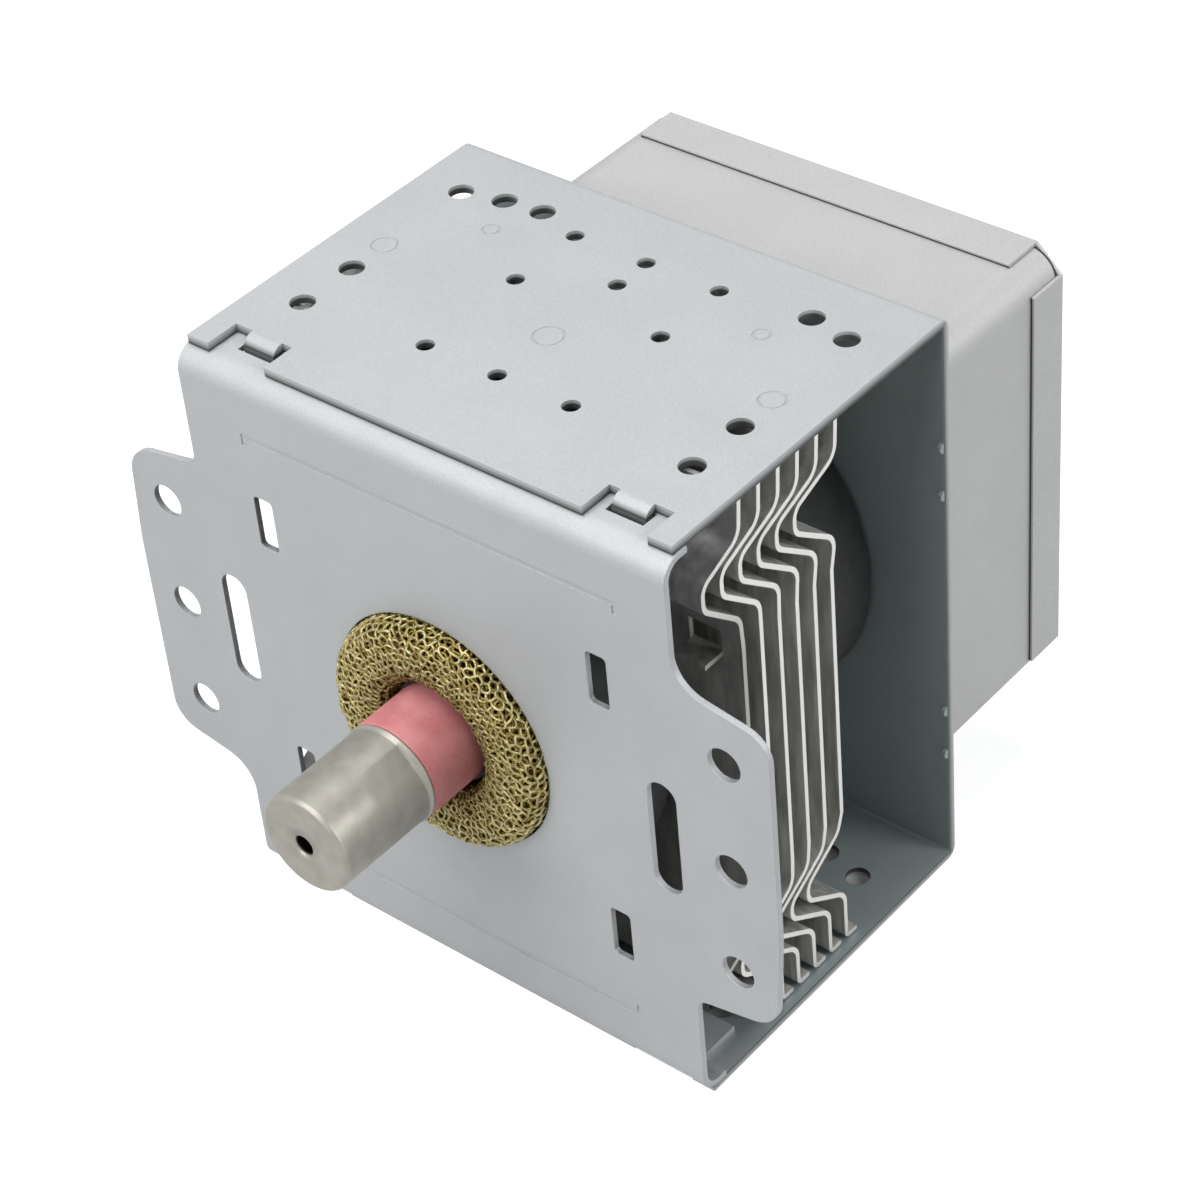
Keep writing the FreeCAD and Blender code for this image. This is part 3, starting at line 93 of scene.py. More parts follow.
# %% [markdown]
# ## The world
#
# A real object is lit from all round by its room. Here the room is dim and faintly blue, so that the
# inside of the yoke falls dark, but the camera and the mirror-like rays see it white. Lighting the object
# more to get a white background would wash out its colours. A Light Path node tells the rays apart
# instead, and leaves the light on the object as it is. The small helpers do sums in any node tree.


# %% Helpers for sums
def join(tree, operation, first, second):
    """Two values, sockets or numbers, through one sum, product, difference or choice of the larger."""
    node = tree.nodes.new("ShaderNodeMath")
    node.operation = operation
    for socket, value in zip(node.inputs, (first, second)):
        if isinstance(value, bpy.types.NodeSocket):
            tree.links.new(value, socket)
        else:
            socket.default_value = value
    return node.outputs[0]


def times(tree, first, second):
    """The product of two values."""
    return join(tree, "MULTIPLY", first, second)


def rest_of(tree, share):
    """One minus a share."""
    return join(tree, "SUBTRACT", 1.0, share)


def seen_directly(tree, mirrored=1.0):
    """One for the camera's rays and those through glass, and a share of one for mirror-like rays."""
    rays = tree.nodes.new("ShaderNodeLightPath").outputs
    seen = join(tree, "MAXIMUM", rays["Is Camera Ray"], times(tree, rays["Is Glossy Ray"], mirrored))
    return join(tree, "MAXIMUM", seen, rays["Is Transmission Ray"])


# %% World
ROOM_TINT, ROOM_LEVEL = (0.70, 0.93, 1.0), 0.12
WHITE = (1.0, 1.0, 1.0)


def even_background(tree, color, strength):
    """Light of one colour from all round."""
    node = tree.nodes.new("ShaderNodeBackground")
    node.inputs["Color"].default_value = (*color, 1.0)
    node.inputs["Strength"].default_value = strength
    return node.outputs[0]


world = bpy.data.worlds.new("studio")
bpy.context.scene.world = world
world.use_nodes = True
sky = world.node_tree
sky.nodes.clear()
pick = sky.nodes.new("ShaderNodeMixShader")
sky_out = sky.nodes.new("ShaderNodeOutputWorld")
sky.links.new(seen_directly(sky), pick.inputs["Fac"])
sky.links.new(even_background(sky, ROOM_TINT, ROOM_LEVEL), pick.inputs[1])
sky.links.new(even_background(sky, WHITE, 1.0), pick.inputs[2])
sky.links.new(pick.outputs[0], sky_out.inputs["Surface"])
print("the room lights the object with", ROOM_LEVEL, "of what the camera sees")

# %% [markdown]
# ## The lamps
#
# Sheet metal shows its folds by the slow change of shade from face to face. A small lamp would cover that
# with hard shadows and glints, so three large soft ones light the object: a strong one above, a weaker one
# in front, and one high up, far to the right and a little behind.


# %% Lamps
def soft_lamp(name, place_mm, target_mm, size_mm, watts):
    """A square lamp at place, turned so that its -Z points from place to target."""
    lamp = bpy.data.objects.new(name, bpy.data.lights.new(name, "AREA"))
    lamp.data.size = size_mm * MM
    lamp.data.energy = watts
    place = Vector(place_mm) * MM
    lamp.location = place
    lamp.rotation_euler = (Vector(target_mm) * MM - place).to_track_quat("-Z", "Y").to_euler()
    bpy.context.scene.collection.objects.link(lamp)
    print(name, "gives", watts, "W from", place_mm, "mm")
    return lamp


MIDDLE = (0, 30, 0)
soft_lamp("lamp_above", (-90, 0, 900), MIDDLE, size_mm=600, watts=5.3)
soft_lamp("lamp_front", (-80, -380, 330), MIDDLE, size_mm=380, watts=1.80)
soft_lamp("lamp_right", (820, 330, 480), MIDDLE, size_mm=400, watts=4.0)

# %% [markdown]
# ## A grid of points becomes a mesh
#
# Each new piece could be pushed into shape by hand or built from loops of single vertices. Here it is
# worked out with numpy as a grid of points instead: rows along one parameter, columns along the other. One
# helper joins neighbours with squares, so every piece is made in the same few lines, and exactly.


# %% Helpers for meshes
def link_mesh(name, points, squares, triangles=(), smooth=True):
    """Put points (n, 3) in millimetres, squares (m, 4) and triangles (k, 3) into one object at the origin."""
    mesh = bpy.data.meshes.new(name)
    faces = squares.tolist() + np.array(triangles, dtype=int).tolist()
    mesh.from_pydata((points * MM).tolist(), [], faces)
    mesh.polygons.foreach_set("use_smooth", np.full(len(faces), smooth))
    mesh.update()
    piece = bpy.data.objects.new(name, mesh)
    bpy.context.scene.collection.objects.link(piece)
    print(name, "has", 2 * len(squares) + len(triangles), "triangles")
    return piece


def grid_squares(rows, columns, closed_rows, closed_columns):
    """Join a grid: square (i, j) has the corners (i, j), (i + 1, j), (i + 1, j + 1) and (i, j + 1)."""
    i = np.arange(rows if closed_rows else rows - 1)[:, None]
    j = np.arange(columns if closed_columns else columns - 1)[None, :]
    after_i = (i + 1) % rows
    after_j = (j + 1) % columns
    corners = [i * columns + j, after_i * columns + j, after_i * columns + after_j, i * columns + after_j]
    return np.stack(np.broadcast_arrays(*corners), axis=-1).reshape(-1, 4)


def unit(arrows):
    """Each arrow divided by its length."""
    return arrows / np.linalg.norm(arrows, axis=-1, keepdims=True)


def round_wires(lines, across, radius, sides, closed):
    """Round wires along many lines at once.

    lines is (wires, points, 3). A wire's skin is line + radius * (cos a * side + sin a * up), where the
    side is the tangent crossed with the across direction, and up is the side crossed with the tangent.
    """
    if closed:
        tangent = np.roll(lines, -1, axis=1) - np.roll(lines, 1, axis=1)
    else:
        tangent = np.gradient(lines, axis=1)
    tangent = unit(tangent)
    side = unit(np.cross(tangent, across))
    up = np.cross(side, tangent)
    angle = np.linspace(0, 2 * np.pi, sides, endpoint=False)[None, None, :, None]
    skin = lines[:, :, None] + radius * (np.cos(angle) * side[:, :, None] + np.sin(angle) * up[:, :, None])
    count, length = lines.shape[:2]
    squares = grid_squares(length, sides, closed, True)
    starts = (np.arange(count) * length * sides)[:, None, None]
    return skin.reshape(-1, 3), (squares[None] + starts).reshape(-1, 4)


# %% [markdown]
# ## Finishes
#
# One material serves a whole family of pieces, such as everything in zinc-plated sheet. A picture wrapped
# round each piece would show seams and repeats. The detail comes from noise in Object coordinates instead,
# which are the metres of the frame, so a grain of a tenth of a millimetre is a scale of about ten thousand.
# A Bevel node softens the sheared edges for the light only and leaves the solid as it is.


# %% Helpers for materials
def finish(name, slot_color, metallic, roughness):
    """Start a material: returns it with its node tree and its shader."""
    made = bpy.data.materials.new(name)
    made.use_nodes = True
    tree = made.node_tree
    shader = tree.nodes["Principled BSDF"]
    shader.inputs["Base Color"].default_value = (*slot_color, 1.0)
    shader.inputs["Metallic"].default_value = metallic
    shader.inputs["Roughness"].default_value = roughness
    return made, tree, shader


def wear(pieces, material):
    """Give CAD nodes or new pieces their finish."""
    names = []
    for item in pieces:
        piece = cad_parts[item] if isinstance(item, str) else item
        piece.data.materials.clear()
        piece.data.materials.append(material)
        names.append(piece.name)
    print(material.name, "goes on", ", ".join(names))


def grain(tree, scale, detail=3.0, stretch=(1, 1, 1)):
    """A noise pattern in Object coordinates, stretched along the axes."""
    place = tree.nodes.new("ShaderNodeTexCoord")
    spread = tree.nodes.new("ShaderNodeMapping")
    spread.inputs["Scale"].default_value = stretch
    noise = tree.nodes.new("ShaderNodeTexNoise")
    noise.inputs["Scale"].default_value = scale
    noise.inputs["Detail"].default_value = detail
    tree.links.new(place.outputs["Object"], spread.inputs["Vector"])
    tree.links.new(spread.outputs["Vector"], noise.inputs["Vector"])
    return noise.outputs[0]


def spread_value(tree, value, low, high, from_low=0.3, from_high=0.7):
    """Map a value from one range to another, held at the ends."""
    node = tree.nodes.new("ShaderNodeMapRange")
    node.inputs["From Min"].default_value = from_low
    node.inputs["From Max"].default_value = from_high
    node.inputs["To Min"].default_value = low
    node.inputs["To Max"].default_value = high
    tree.links.new(value, node.inputs["Value"])
    return node.outputs["Result"]


# %% Helpers for colour
def ramp(tree, value, stops):
    """Turn a value into colours: stops are (position, colour)."""
    node = tree.nodes.new("ShaderNodeValToRGB")
    while len(node.color_ramp.elements) < len(stops):
        node.color_ramp.elements.new(0.5)
    for element, (position, color) in zip(node.color_ramp.elements, stops):
        element.position = position
        element.color = (*color, 1.0)
    tree.links.new(value, node.inputs["Fac"])
    return node.outputs["Color"]


def blend_colors(tree, share, first, second, mode="MIX"):
    """Mix two colours; each is a socket or a plain colour."""
    node = tree.nodes.new("ShaderNodeMix")
    node.data_type = "RGBA"
    node.blend_type = mode
    for socket, value in ((node.inputs[0], share), (node.inputs[6], first), (node.inputs[7], second)):
        if isinstance(value, bpy.types.NodeSocket):
            tree.links.new(value, socket)
        elif isinstance(value, tuple):
            socket.default_value = (*value, 1.0)
        else:
            socket.default_value = value
    return node.outputs[2]


def shaded(tree, color, level):
    """A plain colour times a level that changes from place to place."""
    grey = tree.nodes.new("ShaderNodeCombineColor")
    for index in range(3):
        tree.links.new(level, grey.inputs[index])
    return blend_colors(tree, 1.0, color, grey.outputs[0], "MULTIPLY")


def recolor(tree, shader, share, color, mode="MIX"):
    """Lay a colour over what the shader has, where share is one."""
    before = shader.inputs["Base Color"].links[0].from_socket
    tree.links.new(blend_colors(tree, share, before, color, mode), shader.inputs["Base Color"])


# %% Helpers for the skin
def vary_roughness(tree, shader, pattern, less, more):
    """Roughness from its own value less one number, where the pattern is low, to that plus another."""
    middle = shader.inputs["Roughness"].default_value
    tree.links.new(spread_value(tree, pattern, middle - less, middle + more), shader.inputs["Roughness"])


def rounded_normal(tree, radius_mm):
    """The normal as if every edge had a small radius."""
    rounding = tree.nodes.new("ShaderNodeBevel")
    rounding.samples = 4
    rounding.inputs["Radius"].default_value = radius_mm * MM
    return rounding.outputs["Normal"]


def rough_skin(tree, shader, heights, edge_mm=0.0):
    """Bump from (value, depth in millimetres) pairs, over edges rounded for the light."""
    under = rounded_normal(tree, edge_mm) if edge_mm else None
    for value, depth_mm in heights:
        bump = tree.nodes.new("ShaderNodeBump")
        bump.inputs["Distance"].default_value = depth_mm * MM
        tree.links.new(value, bump.inputs["Height"])
        if under:
            tree.links.new(under, bump.inputs["Normal"])
        under = bump.outputs["Normal"]
    tree.links.new(under, shader.inputs["Normal"])


# %% [markdown]
# ### Masks find a place on a piece
#
# Real sheet isn't one colour all over: its cut edges, its corners and the walls of its holes differ. They
# could be painted by hand, but then every change of size means painting again. A mask works the place out
# instead, as a share from zero to one: from how the rounded normal leans at an edge, from how shut in a
# spot is, from the way the surface faces, or from where it lies in the frame.


# %% Helpers for masks
def edge_share(tree, radius_mm, low=0.02, high=0.25):
    """How near a point is to a sharp edge: one minus the rounded normal dotted with the true one."""
    true = tree.nodes.new("ShaderNodeNewGeometry")
    dot = tree.nodes.new("ShaderNodeVectorMath")
    dot.operation = "DOT_PRODUCT"
    tree.links.new(rounded_normal(tree, radius_mm), dot.inputs[0])
    tree.links.new(true.outputs["Normal"], dot.inputs[1])
    return spread_value(tree, dot.outputs["Value"], 1.0, 0.0, 1.0 - high, 1.0 - low)


def shut_in(tree, reach_mm, dark, clear):
    """One where the piece's own walls stand nearer than reach on most sides, and zero in the open."""
    around = tree.nodes.new("ShaderNodeAmbientOcclusion")
    around.samples = 8
    around.only_local = True
    around.inputs["Distance"].default_value = reach_mm * MM
    return spread_value(tree, around.outputs["AO"], 1.0, 0.0, dark, clear)


# %% Masks by direction and by place
def part_along(tree, output, axis):
    """One axis of a direction or a place."""
    place = tree.nodes.new("ShaderNodeTexCoord")
    axes = tree.nodes.new("ShaderNodeSeparateXYZ")
    tree.links.new(place.outputs[output], axes.inputs[0])
    return axes.outputs[axis]


def facing(tree, axis):
    """One where the surface faces along an axis, forward or back: the absolute part of its normal."""
    part = join(tree, "ABSOLUTE", part_along(tree, "Normal", axis), 0.0)
    return spread_value(tree, part, 0.0, 1.0, 0.5, 0.8)


def coordinate(tree, axis):
    """Where a point lies along one axis of the frame, in metres."""
    return part_along(tree, "Object", axis)


def distance_past(tree, axis, middle_mm, half_mm):
    """How far a point lies outside a slab, in metres: |place - middle| - half."""
    off = join(tree, "SUBTRACT", coordinate(tree, axis), middle_mm * MM)
    return join(tree, "SUBTRACT", join(tree, "ABSOLUTE", off, 0.0), half_mm * MM)


def rising(tree, place, low_mm, high_mm):
    """Zero up to the low place and one from the high place."""
    return spread_value(tree, place, 0.0, 1.0, low_mm * MM, high_mm * MM)


def falling(tree, place, low_mm, high_mm):
    """One up to the low place and zero from the high place."""
    return spread_value(tree, place, 1.0, 0.0, low_mm * MM, high_mm * MM)


# %% [markdown]
# ### Zinc-plated sheet
#
# The yoke, the mounting plate and the filter box are pressed from plated steel. The plating is satin and
# very even: a fine orange-peel, slow cloudy patches, and edges that are a little brighter where the shears
# and the die have polished them. One plain grey would look like paint, and a full metal would mirror the
# white floor, so a third of its light is mirrored and the rest is scattered.


# %% Zinc
def zinc(name, color, roughness, soft_edge_mm):
    """Zinc plate in one tint: slow clouds, fine specks and bright edges."""
    made, tree, shader = finish(name, color, 0.32, roughness)
    clouds = spread_value(tree, grain(tree, 70.0, 2.0), 0.98, 1.02)
    specks = spread_value(tree, grain(tree, 4200.0, 2.0), 0.91, 1.09, 0.25, 0.75)
    tinted = shaded(tree, color, times(tree, clouds, specks))
    bright = tuple(min(1.0, part * 1.12) for part in color)
    tree.links.new(blend_colors(tree, edge_share(tree, 0.14), tinted, bright), shader.inputs["Base Color"])
    vary_roughness(tree, shader, grain(tree, 160.0, 3.0), 0.05, 0.06)
    peel, waves = grain(tree, 2600.0, 2.0), grain(tree, 60.0, 1.0)
    rough_skin(tree, shader, [(peel, 0.012), (waves, 0.05)], soft_edge_mm)
    return made, tree, shader


# %% [markdown]
# ### The mounting plate's pierced walls
#
# The plate is plated after it is bent. The walls of its slots and holes lie in shade, so they carry painted
# shade: a dark grey. They could be picked out face by face, but the mesh has to stay as it is. They are the
# sideways surfaces that have metal of the same plate right opposite, which an Ambient Occlusion node that
# looks at its own object measures. The plate's outer edges have nothing opposite and stay bright, and so do
# the first tenths of a millimetre under the front face, where the pressed creases are.

# %% Mounting plate
HOLE_SHADE = (0.10, 0.105, 0.105)


def box_mm(node):
    """The low and the high corner of a node's box, in millimetres."""
    return [np.array(corner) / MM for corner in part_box(node)]


plate_zinc, plate_tree, plate_shader = zinc("zinc_plate", (0.478, 0.486, 0.496), roughness=0.58,
                                            soft_edge_mm=0.2)
in_a_hole = shut_in(plate_tree, 5.0, dark=0.72, clear=0.90)
sideways = rest_of(plate_tree, facing(plate_tree, "Y"))
plate_front = box_mm("mounting_plate")[0][1]
below_skin = rising(plate_tree, coordinate(plate_tree, "Y"), plate_front + 0.17, plate_front + 0.22)
# Painted shade: the sideways walls of slots and holes, below the front skin, are coloured dark grey.
shaded_hole_wall = times(plate_tree, times(plate_tree, in_a_hole, sideways), below_skin)
recolor(plate_tree, plate_shader, shaded_hole_wall, HOLE_SHADE)
wear(["mounting_plate"], plate_zinc)
print("its front face lies at y =", round(plate_front, 2), "mm")


# %% [markdown]
# ### The yoke's torn edges
#
# A punch cuts the first part of a thick sheet smooth and tears the rest, so each sheared edge has a bright
# band on the outside and a grey one below it. On the inside of each edge lies a dark band, a painted shadow
# of the gap under the edge, and in the holes the grey band is painted dark too, as their shade. Such bands
# are too thin to model, and a colour by place gives them on every edge at once. How far a point lies out
# into the sheet is the larger of its distances past the inner roof and past the inner back wall. The inner
# faces, at no such distance, carry painted shade: a duller blue-grey for the dim inside of the channel.

# %% Yoke
SHEET = 1.4
TORN_GREY, EDGE_SHADE, INNER_SHADE = (0.250, 0.256, 0.254), (0.065, 0.070, 0.068), (0.300, 0.345, 0.352)
ARM_EDGE, TONGUES_END = 0.4, 10.0

yoke_low, yoke_high = box_mm("yoke_frame")
yoke_zinc, yoke_tree, yoke_shader = zinc("zinc_yoke", (0.460, 0.466, 0.475), roughness=0.55,
                                         soft_edge_mm=0.13)
along_y = coordinate(yoke_tree, "Y")
past_roof = distance_past(yoke_tree, "Z", 0.0, yoke_high[2] - SHEET)
past_wall = join(yoke_tree, "SUBTRACT", along_y, (yoke_high[1] - SHEET) * MM)
into_sheet = join(yoke_tree, "MAXIMUM", past_roof, past_wall)
upright = rest_of(yoke_tree, facing(yoke_tree, "Z"))
torn = times(yoke_tree, falling(yoke_tree, into_sheet, 0.50 * SHEET, 0.72 * SHEET), upright)
shaded_edge_foot = times(yoke_tree, falling(yoke_tree, into_sheet, 0.20 * SHEET, 0.34 * SHEET), upright)
within = falling(yoke_tree, distance_past(yoke_tree, "X", 0.0, yoke_high[0] - ARM_EDGE), -0.1, 0.0)
pierced = times(yoke_tree, within, rising(yoke_tree, along_y, TONGUES_END - 0.1, TONGUES_END))
not_in_sheet = falling(yoke_tree, into_sheet, 0.005, 0.02)
inner_face = times(yoke_tree, not_in_sheet, rising(yoke_tree, along_y, 3.0, 13.0))
recolor(yoke_tree, yoke_shader, torn, TORN_GREY)
# Painted shadow on the inner side of each edge, and painted shade over the torn band in the holes.
recolor(yoke_tree, yoke_shader, shaded_edge_foot, EDGE_SHADE)
recolor(yoke_tree, yoke_shader, times(yoke_tree, torn, pierced), EDGE_SHADE)
# Painted shade: the inner faces of the channel in a duller blue-grey.
recolor(yoke_tree, yoke_shader, inner_face, INNER_SHADE)
wear(["yoke_frame"], yoke_zinc)
print("its inner roof is at z =", round(yoke_high[2] - SHEET, 2), "and its inner back wall at y =",
      round(yoke_high[1] - SHEET, 2), "mm")


# %% [markdown]
# ### The filter box and its lid
#
# The box and the lid are one sheet and one tint. The lid's folded skirt ends in a cut, and where that cut
# meets the box a thin dark seam runs round it: the cut's own dark steel with a painted shadow of the gap.
# The same seam shows at each corner, where the skirts leave the box bare up to the lid's cover, as a painted
# shadow. A modelled gap would have to be as thin as paper, so both seams are dark lines that are found by
# their place.

# %% Filter box
SEAM_SHADOW, CUT_AND_GAP_SHADE = (0.035, 0.04, 0.04), (0.035, 0.045, 0.045)
CASE_TINT = (0.500, 0.499, 0.493)

case_low, case_high = box_mm("filter_case")
case_zinc, case_tree, case_shader = zinc("zinc_case", CASE_TINT, roughness=0.52, soft_edge_mm=0.13)
at_cover = rising(case_tree, coordinate(case_tree, "Y"), case_high[1] - 0.45, case_high[1] - 0.35)
# Painted shadow of the thin gap at the lid's cover.
recolor(case_tree, case_shader, at_cover, SEAM_SHADOW)
wear(["filter_case", "capacitor_bracket"], case_zinc)

# %% Lid
case_middle, case_half = (case_low + case_high) / 2, (case_high - case_low) / 2
lid_front = box_mm("filter_lid")[0][1]
lid_zinc, lid_tree, lid_shader = zinc("zinc_lid", CASE_TINT, roughness=0.52, soft_edge_mm=0.13)
past_side = distance_past(lid_tree, "X", case_middle[0], case_half[0])
past_top = distance_past(lid_tree, "Z", case_middle[2], case_half[2])
lowest = falling(lid_tree, join(lid_tree, "MAXIMUM", past_side, past_top), 0.22, 0.30)
at_cut = falling(lid_tree, coordinate(lid_tree, "Y"), lid_front + 0.06, lid_front + 0.10)
# The cut's dark steel with a painted shadow of the gap beside it.
recolor(lid_tree, lid_shader, times(lid_tree, lowest, at_cut), CUT_AND_GAP_SHADE)
wear(["filter_lid"], lid_zinc)
print("box half sizes", case_half.round(2), "mm; the lid's skirt ends at y =", round(lid_front, 2), "mm")


# %% [markdown]
# ### Aluminium fins
#
# The fins are sheared from thin mill-finish sheet. Their faces are dull, with fine rolling streaks, and
# their sheared edges are almost white. An edge could be a strip of its own with its own material, but the
# solid has no such strip, so it is found by its normal, because it faces sideways. The front fin stands in
# the plate's shade: its sheet is darker, and all but its top is darker still.


# %% Aluminium
def rolled_aluminium(name, face, edge, roughness):
    """Rolling streaks up the fin, nearly white in the middle of its sheared edges."""
    made, tree, shader = finish(name, face, 0.7, roughness)
    streaks = spread_value(tree, grain(tree, 650.0, 3.0, (1.0, 1.0, 0.14)), 0.68, 1.22)
    core = rest_of(tree, edge_share(tree, 0.11, 0.03, 0.10))
    sheared = times(tree, facing(tree, "X"), core)
    rolled = shaded(tree, face, streaks)
    tree.links.new(blend_colors(tree, sheared, rolled, edge), shader.inputs["Base Color"])
    vary_roughness(tree, shader, grain(tree, 1200.0, 2.0, (1.0, 1.0, 0.1)), 0.06, 0.08)
    rough_skin(tree, shader, [(grain(tree, 1500.0, 2.0, (1.0, 1.0, 0.1)), 0.01)], 0.1)
    return made, tree, shader


# %% Fins
SHEARED = (0.76, 0.755, 0.725)
SHADE_FULL, SHADE_NONE, SHADE = 20.0, 40.0, (0.55, 0.55, 0.53)

fin_sheet, _, _ = rolled_aluminium("fin_sheet", (0.58, 0.58, 0.55), SHEARED, roughness=0.55)
front_sheet, front_tree, front_shader = rolled_aluminium("front_fin_sheet", (0.50, 0.49, 0.485), SHEARED,
                                                         roughness=0.55)
below_top = falling(front_tree, coordinate(front_tree, "Z"), SHADE_FULL, SHADE_NONE)
recolor(front_tree, front_shader, below_top, SHADE, "MULTIPLY")
fins = sorted(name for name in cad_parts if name.startswith("cooling_fin"))
wear(fins[1:], fin_sheet)
wear(fins[:1], front_sheet)


# %% [markdown]
# ### Ferrite and the plain metals
#
# The rest of the tube is mostly hidden, but a reader who takes the part apart should find the right metals:
# black ferrite, bright copper with a slow stain and drawn iron. Each could have a material of many layers.
# Two shades and one noise are enough for pieces that are seen for a glance, so one function makes them all.
# The magnets' rims carry painted light, a shade paler than their ground faces, where the lamps only graze
# them. The seal cup in front, which shows only as a sliver inside the gasket, carries painted shade and is
# nearly black.


# %% Two shades and one noise
def speckled(name, low, high, metallic, roughness, scale, depth_mm, edge_mm=0.2):
    """Two shades mixed by a noise of the given scale, with a bump of the same grain."""
    made, tree, shader = finish(name, high, metallic, roughness)
    pattern = grain(tree, scale, 4.0)
    tree.links.new(ramp(tree, pattern, [(0.32, low), (0.68, high)]), shader.inputs["Base Color"])
    vary_roughness(tree, shader, grain(tree, scale * 0.3, 2.0), 0.07, 0.07)
    rough_skin(tree, shader, [(pattern, depth_mm)], edge_mm)
    return made


# %% Ferrite
RIM_PAINTED_LIGHT = (0.024, 0.026, 0.027)

ferrite = speckled("ground_ferrite", (0.008, 0.0085, 0.0095), (0.015, 0.016, 0.018), metallic=0.0,
                   roughness=0.85, scale=1500.0, depth_mm=0.02)
ferrite_tree = ferrite.node_tree
rim = rest_of(ferrite_tree, facing(ferrite_tree, "Y"))
# Painted light: the rims are paler than the ground faces.
recolor(ferrite_tree, ferrite_tree.nodes["Principled BSDF"], rim, RIM_PAINTED_LIGHT)
wear(["front_magnet", "rear_magnet", "choke_core_left", "choke_core_right"], ferrite)

# %% Copper, iron and the small metal parts
copper = speckled("bright_copper", (0.50, 0.22, 0.13), (0.72, 0.36, 0.23), metallic=1.0,
                  roughness=0.34, scale=260.0, depth_mm=0.01)
iron = speckled("drawn_iron", (0.10, 0.09, 0.08), (0.20, 0.185, 0.17), metallic=0.8,
                roughness=0.45, scale=700.0, depth_mm=0.01)
shadowed_iron = speckled("shadowed_iron", (0.025, 0.023, 0.020), (0.055, 0.050, 0.044), metallic=0.2,
                       roughness=0.75, scale=700.0, depth_mm=0.01)
rivet_steel = speckled("rivet_steel", (0.42, 0.42, 0.42), (0.60, 0.60, 0.59), metallic=0.8,
                       roughness=0.36, scale=900.0, depth_mm=0.01)
heater_metal = speckled("heater_metal", (0.10, 0.10, 0.11), (0.22, 0.22, 0.23), metallic=0.9,
                        roughness=0.45, scale=900.0, depth_mm=0.01)
tin = speckled("tinned_blade", (0.50, 0.50, 0.48), (0.66, 0.65, 0.62), metallic=0.85,
               roughness=0.32, scale=800.0, depth_mm=0.008)
wear(["anode_cylinder", "anode_vanes", "strap_rings", "antenna_rod", "pumping_tube"], copper)
wear(["front_pole_piece", "rear_pole_piece", "rear_seal_cup"], iron)
# Painted shade: the seal cup is nearly black.
wear(["front_seal_cup"], shadowed_iron)
wear(["case_rivets", "bracket_rivets"], rivet_steel)
wear(["heater_leads", "heater_coil", "front_end_hat", "rear_end_hat"], heater_metal)
wear(["terminal_blades"], tin)


# %% [markdown]
# ### Ceramic and resin
#
# The tube between the cap and the gasket is fired alumina, dyed pink, and the stem at the tube's other end
# is white. Fired ceramic is matte and lets a little light in. A plain matte colour would look like chalk, so
# some subsurface light is added, with faint clouds and small pits in the skin. The moulded resin of the
# capacitor is made the same way.


# %% Ceramic and resin
def fired(name, low, high, roughness, scale):
    """A matte body with faint clouds, pits of a fifth of a millimetre and some light let in."""
    made, tree, shader = finish(name, high, 0.0, roughness)
    clouds = ramp(tree, grain(tree, scale, 4.0), [(0.30, low), (0.70, high)])
    pits = grain(tree, 4200.0, 2.0)
    specks = ramp(tree, pits, [(0.28, tuple(part * 0.8 for part in low)), (0.36, WHITE)])
    tree.links.new(blend_colors(tree, 0.5, clouds, specks, "MULTIPLY"), shader.inputs["Base Color"])
    vary_roughness(tree, shader, grain(tree, 900.0), 0.06, 0.06)
    shader.inputs["Subsurface Weight"].default_value = 0.08
    shader.inputs["Subsurface Scale"].default_value = 0.0006
    rough_skin(tree, shader, [(pits, 0.02), (grain(tree, 500.0), 0.03)], 0.3)
    return made


pink_alumina = fired("pink_alumina", (0.57, 0.170, 0.180), (0.70, 0.280, 0.282), roughness=0.55, scale=260.0)
white_alumina = fired("white_alumina", (0.62, 0.58, 0.54), (0.78, 0.75, 0.71), roughness=0.5, scale=260.0)
blue_resin = fired("moulded_resin", (0.02, 0.05, 0.14), (0.04, 0.09, 0.24), roughness=0.45, scale=400.0)
wear(["antenna_insulator"], pink_alumina)
wear(["stem_insulator"], white_alumina)
wear(["capacitor_block"], blue_resin)

# %% [markdown]
# ## The antenna cap
#
# The cap is a drawn steel thimble pressed over the ceramic. Its side is not quite round: from the middle to
# the foot it has one flat, which starts at a sharp line along the top and dies away softly below. A cut
# would make that flat hard on both sides, so the skin is a profile turned about the axis, with a depth
# taken off the radius: the depth grows evenly along the cap, and around it is that of a plane on the upper
# side of the flat's middle and a cosine squared on the lower side.

# %% The cap's profile
CAP_FRONT, CAP_FOOT, CAP_RADIUS, CAP_WALL, CAP_HOLE = -27.7, -10.6, 7.5, 0.5, 1.6
CAP_EDGE, FOOT_RADIUS, FOOT_LONG, FOOT_ROUND, FLARE_LONG = 0.75, 7.78, 0.35, 0.2, 0.45
SIDE_FRONT, SIDE_STEPS, BORE_FRONT = -26.8, 64, -26.0
FACE_RINGS = (CAP_HOLE, 3.5, 5.4)


def corner_arc(centre_y, centre_r, radius, first, last, count):
    """Points of an arc in the (y, r) plane, from one angle to another in degrees."""
    angle = np.radians(np.linspace(first, last, count))
    return np.stack([centre_y + radius * np.sin(angle), centre_r + radius * np.cos(angle)], axis=1)


def smooth_step(value, low, high):
    """0 below low, 1 above high and 3 s^2 - 2 s^3 between."""
    share = np.clip((value - low) / (high - low), 0.0, 1.0)
    return share * share * (3 - 2 * share)


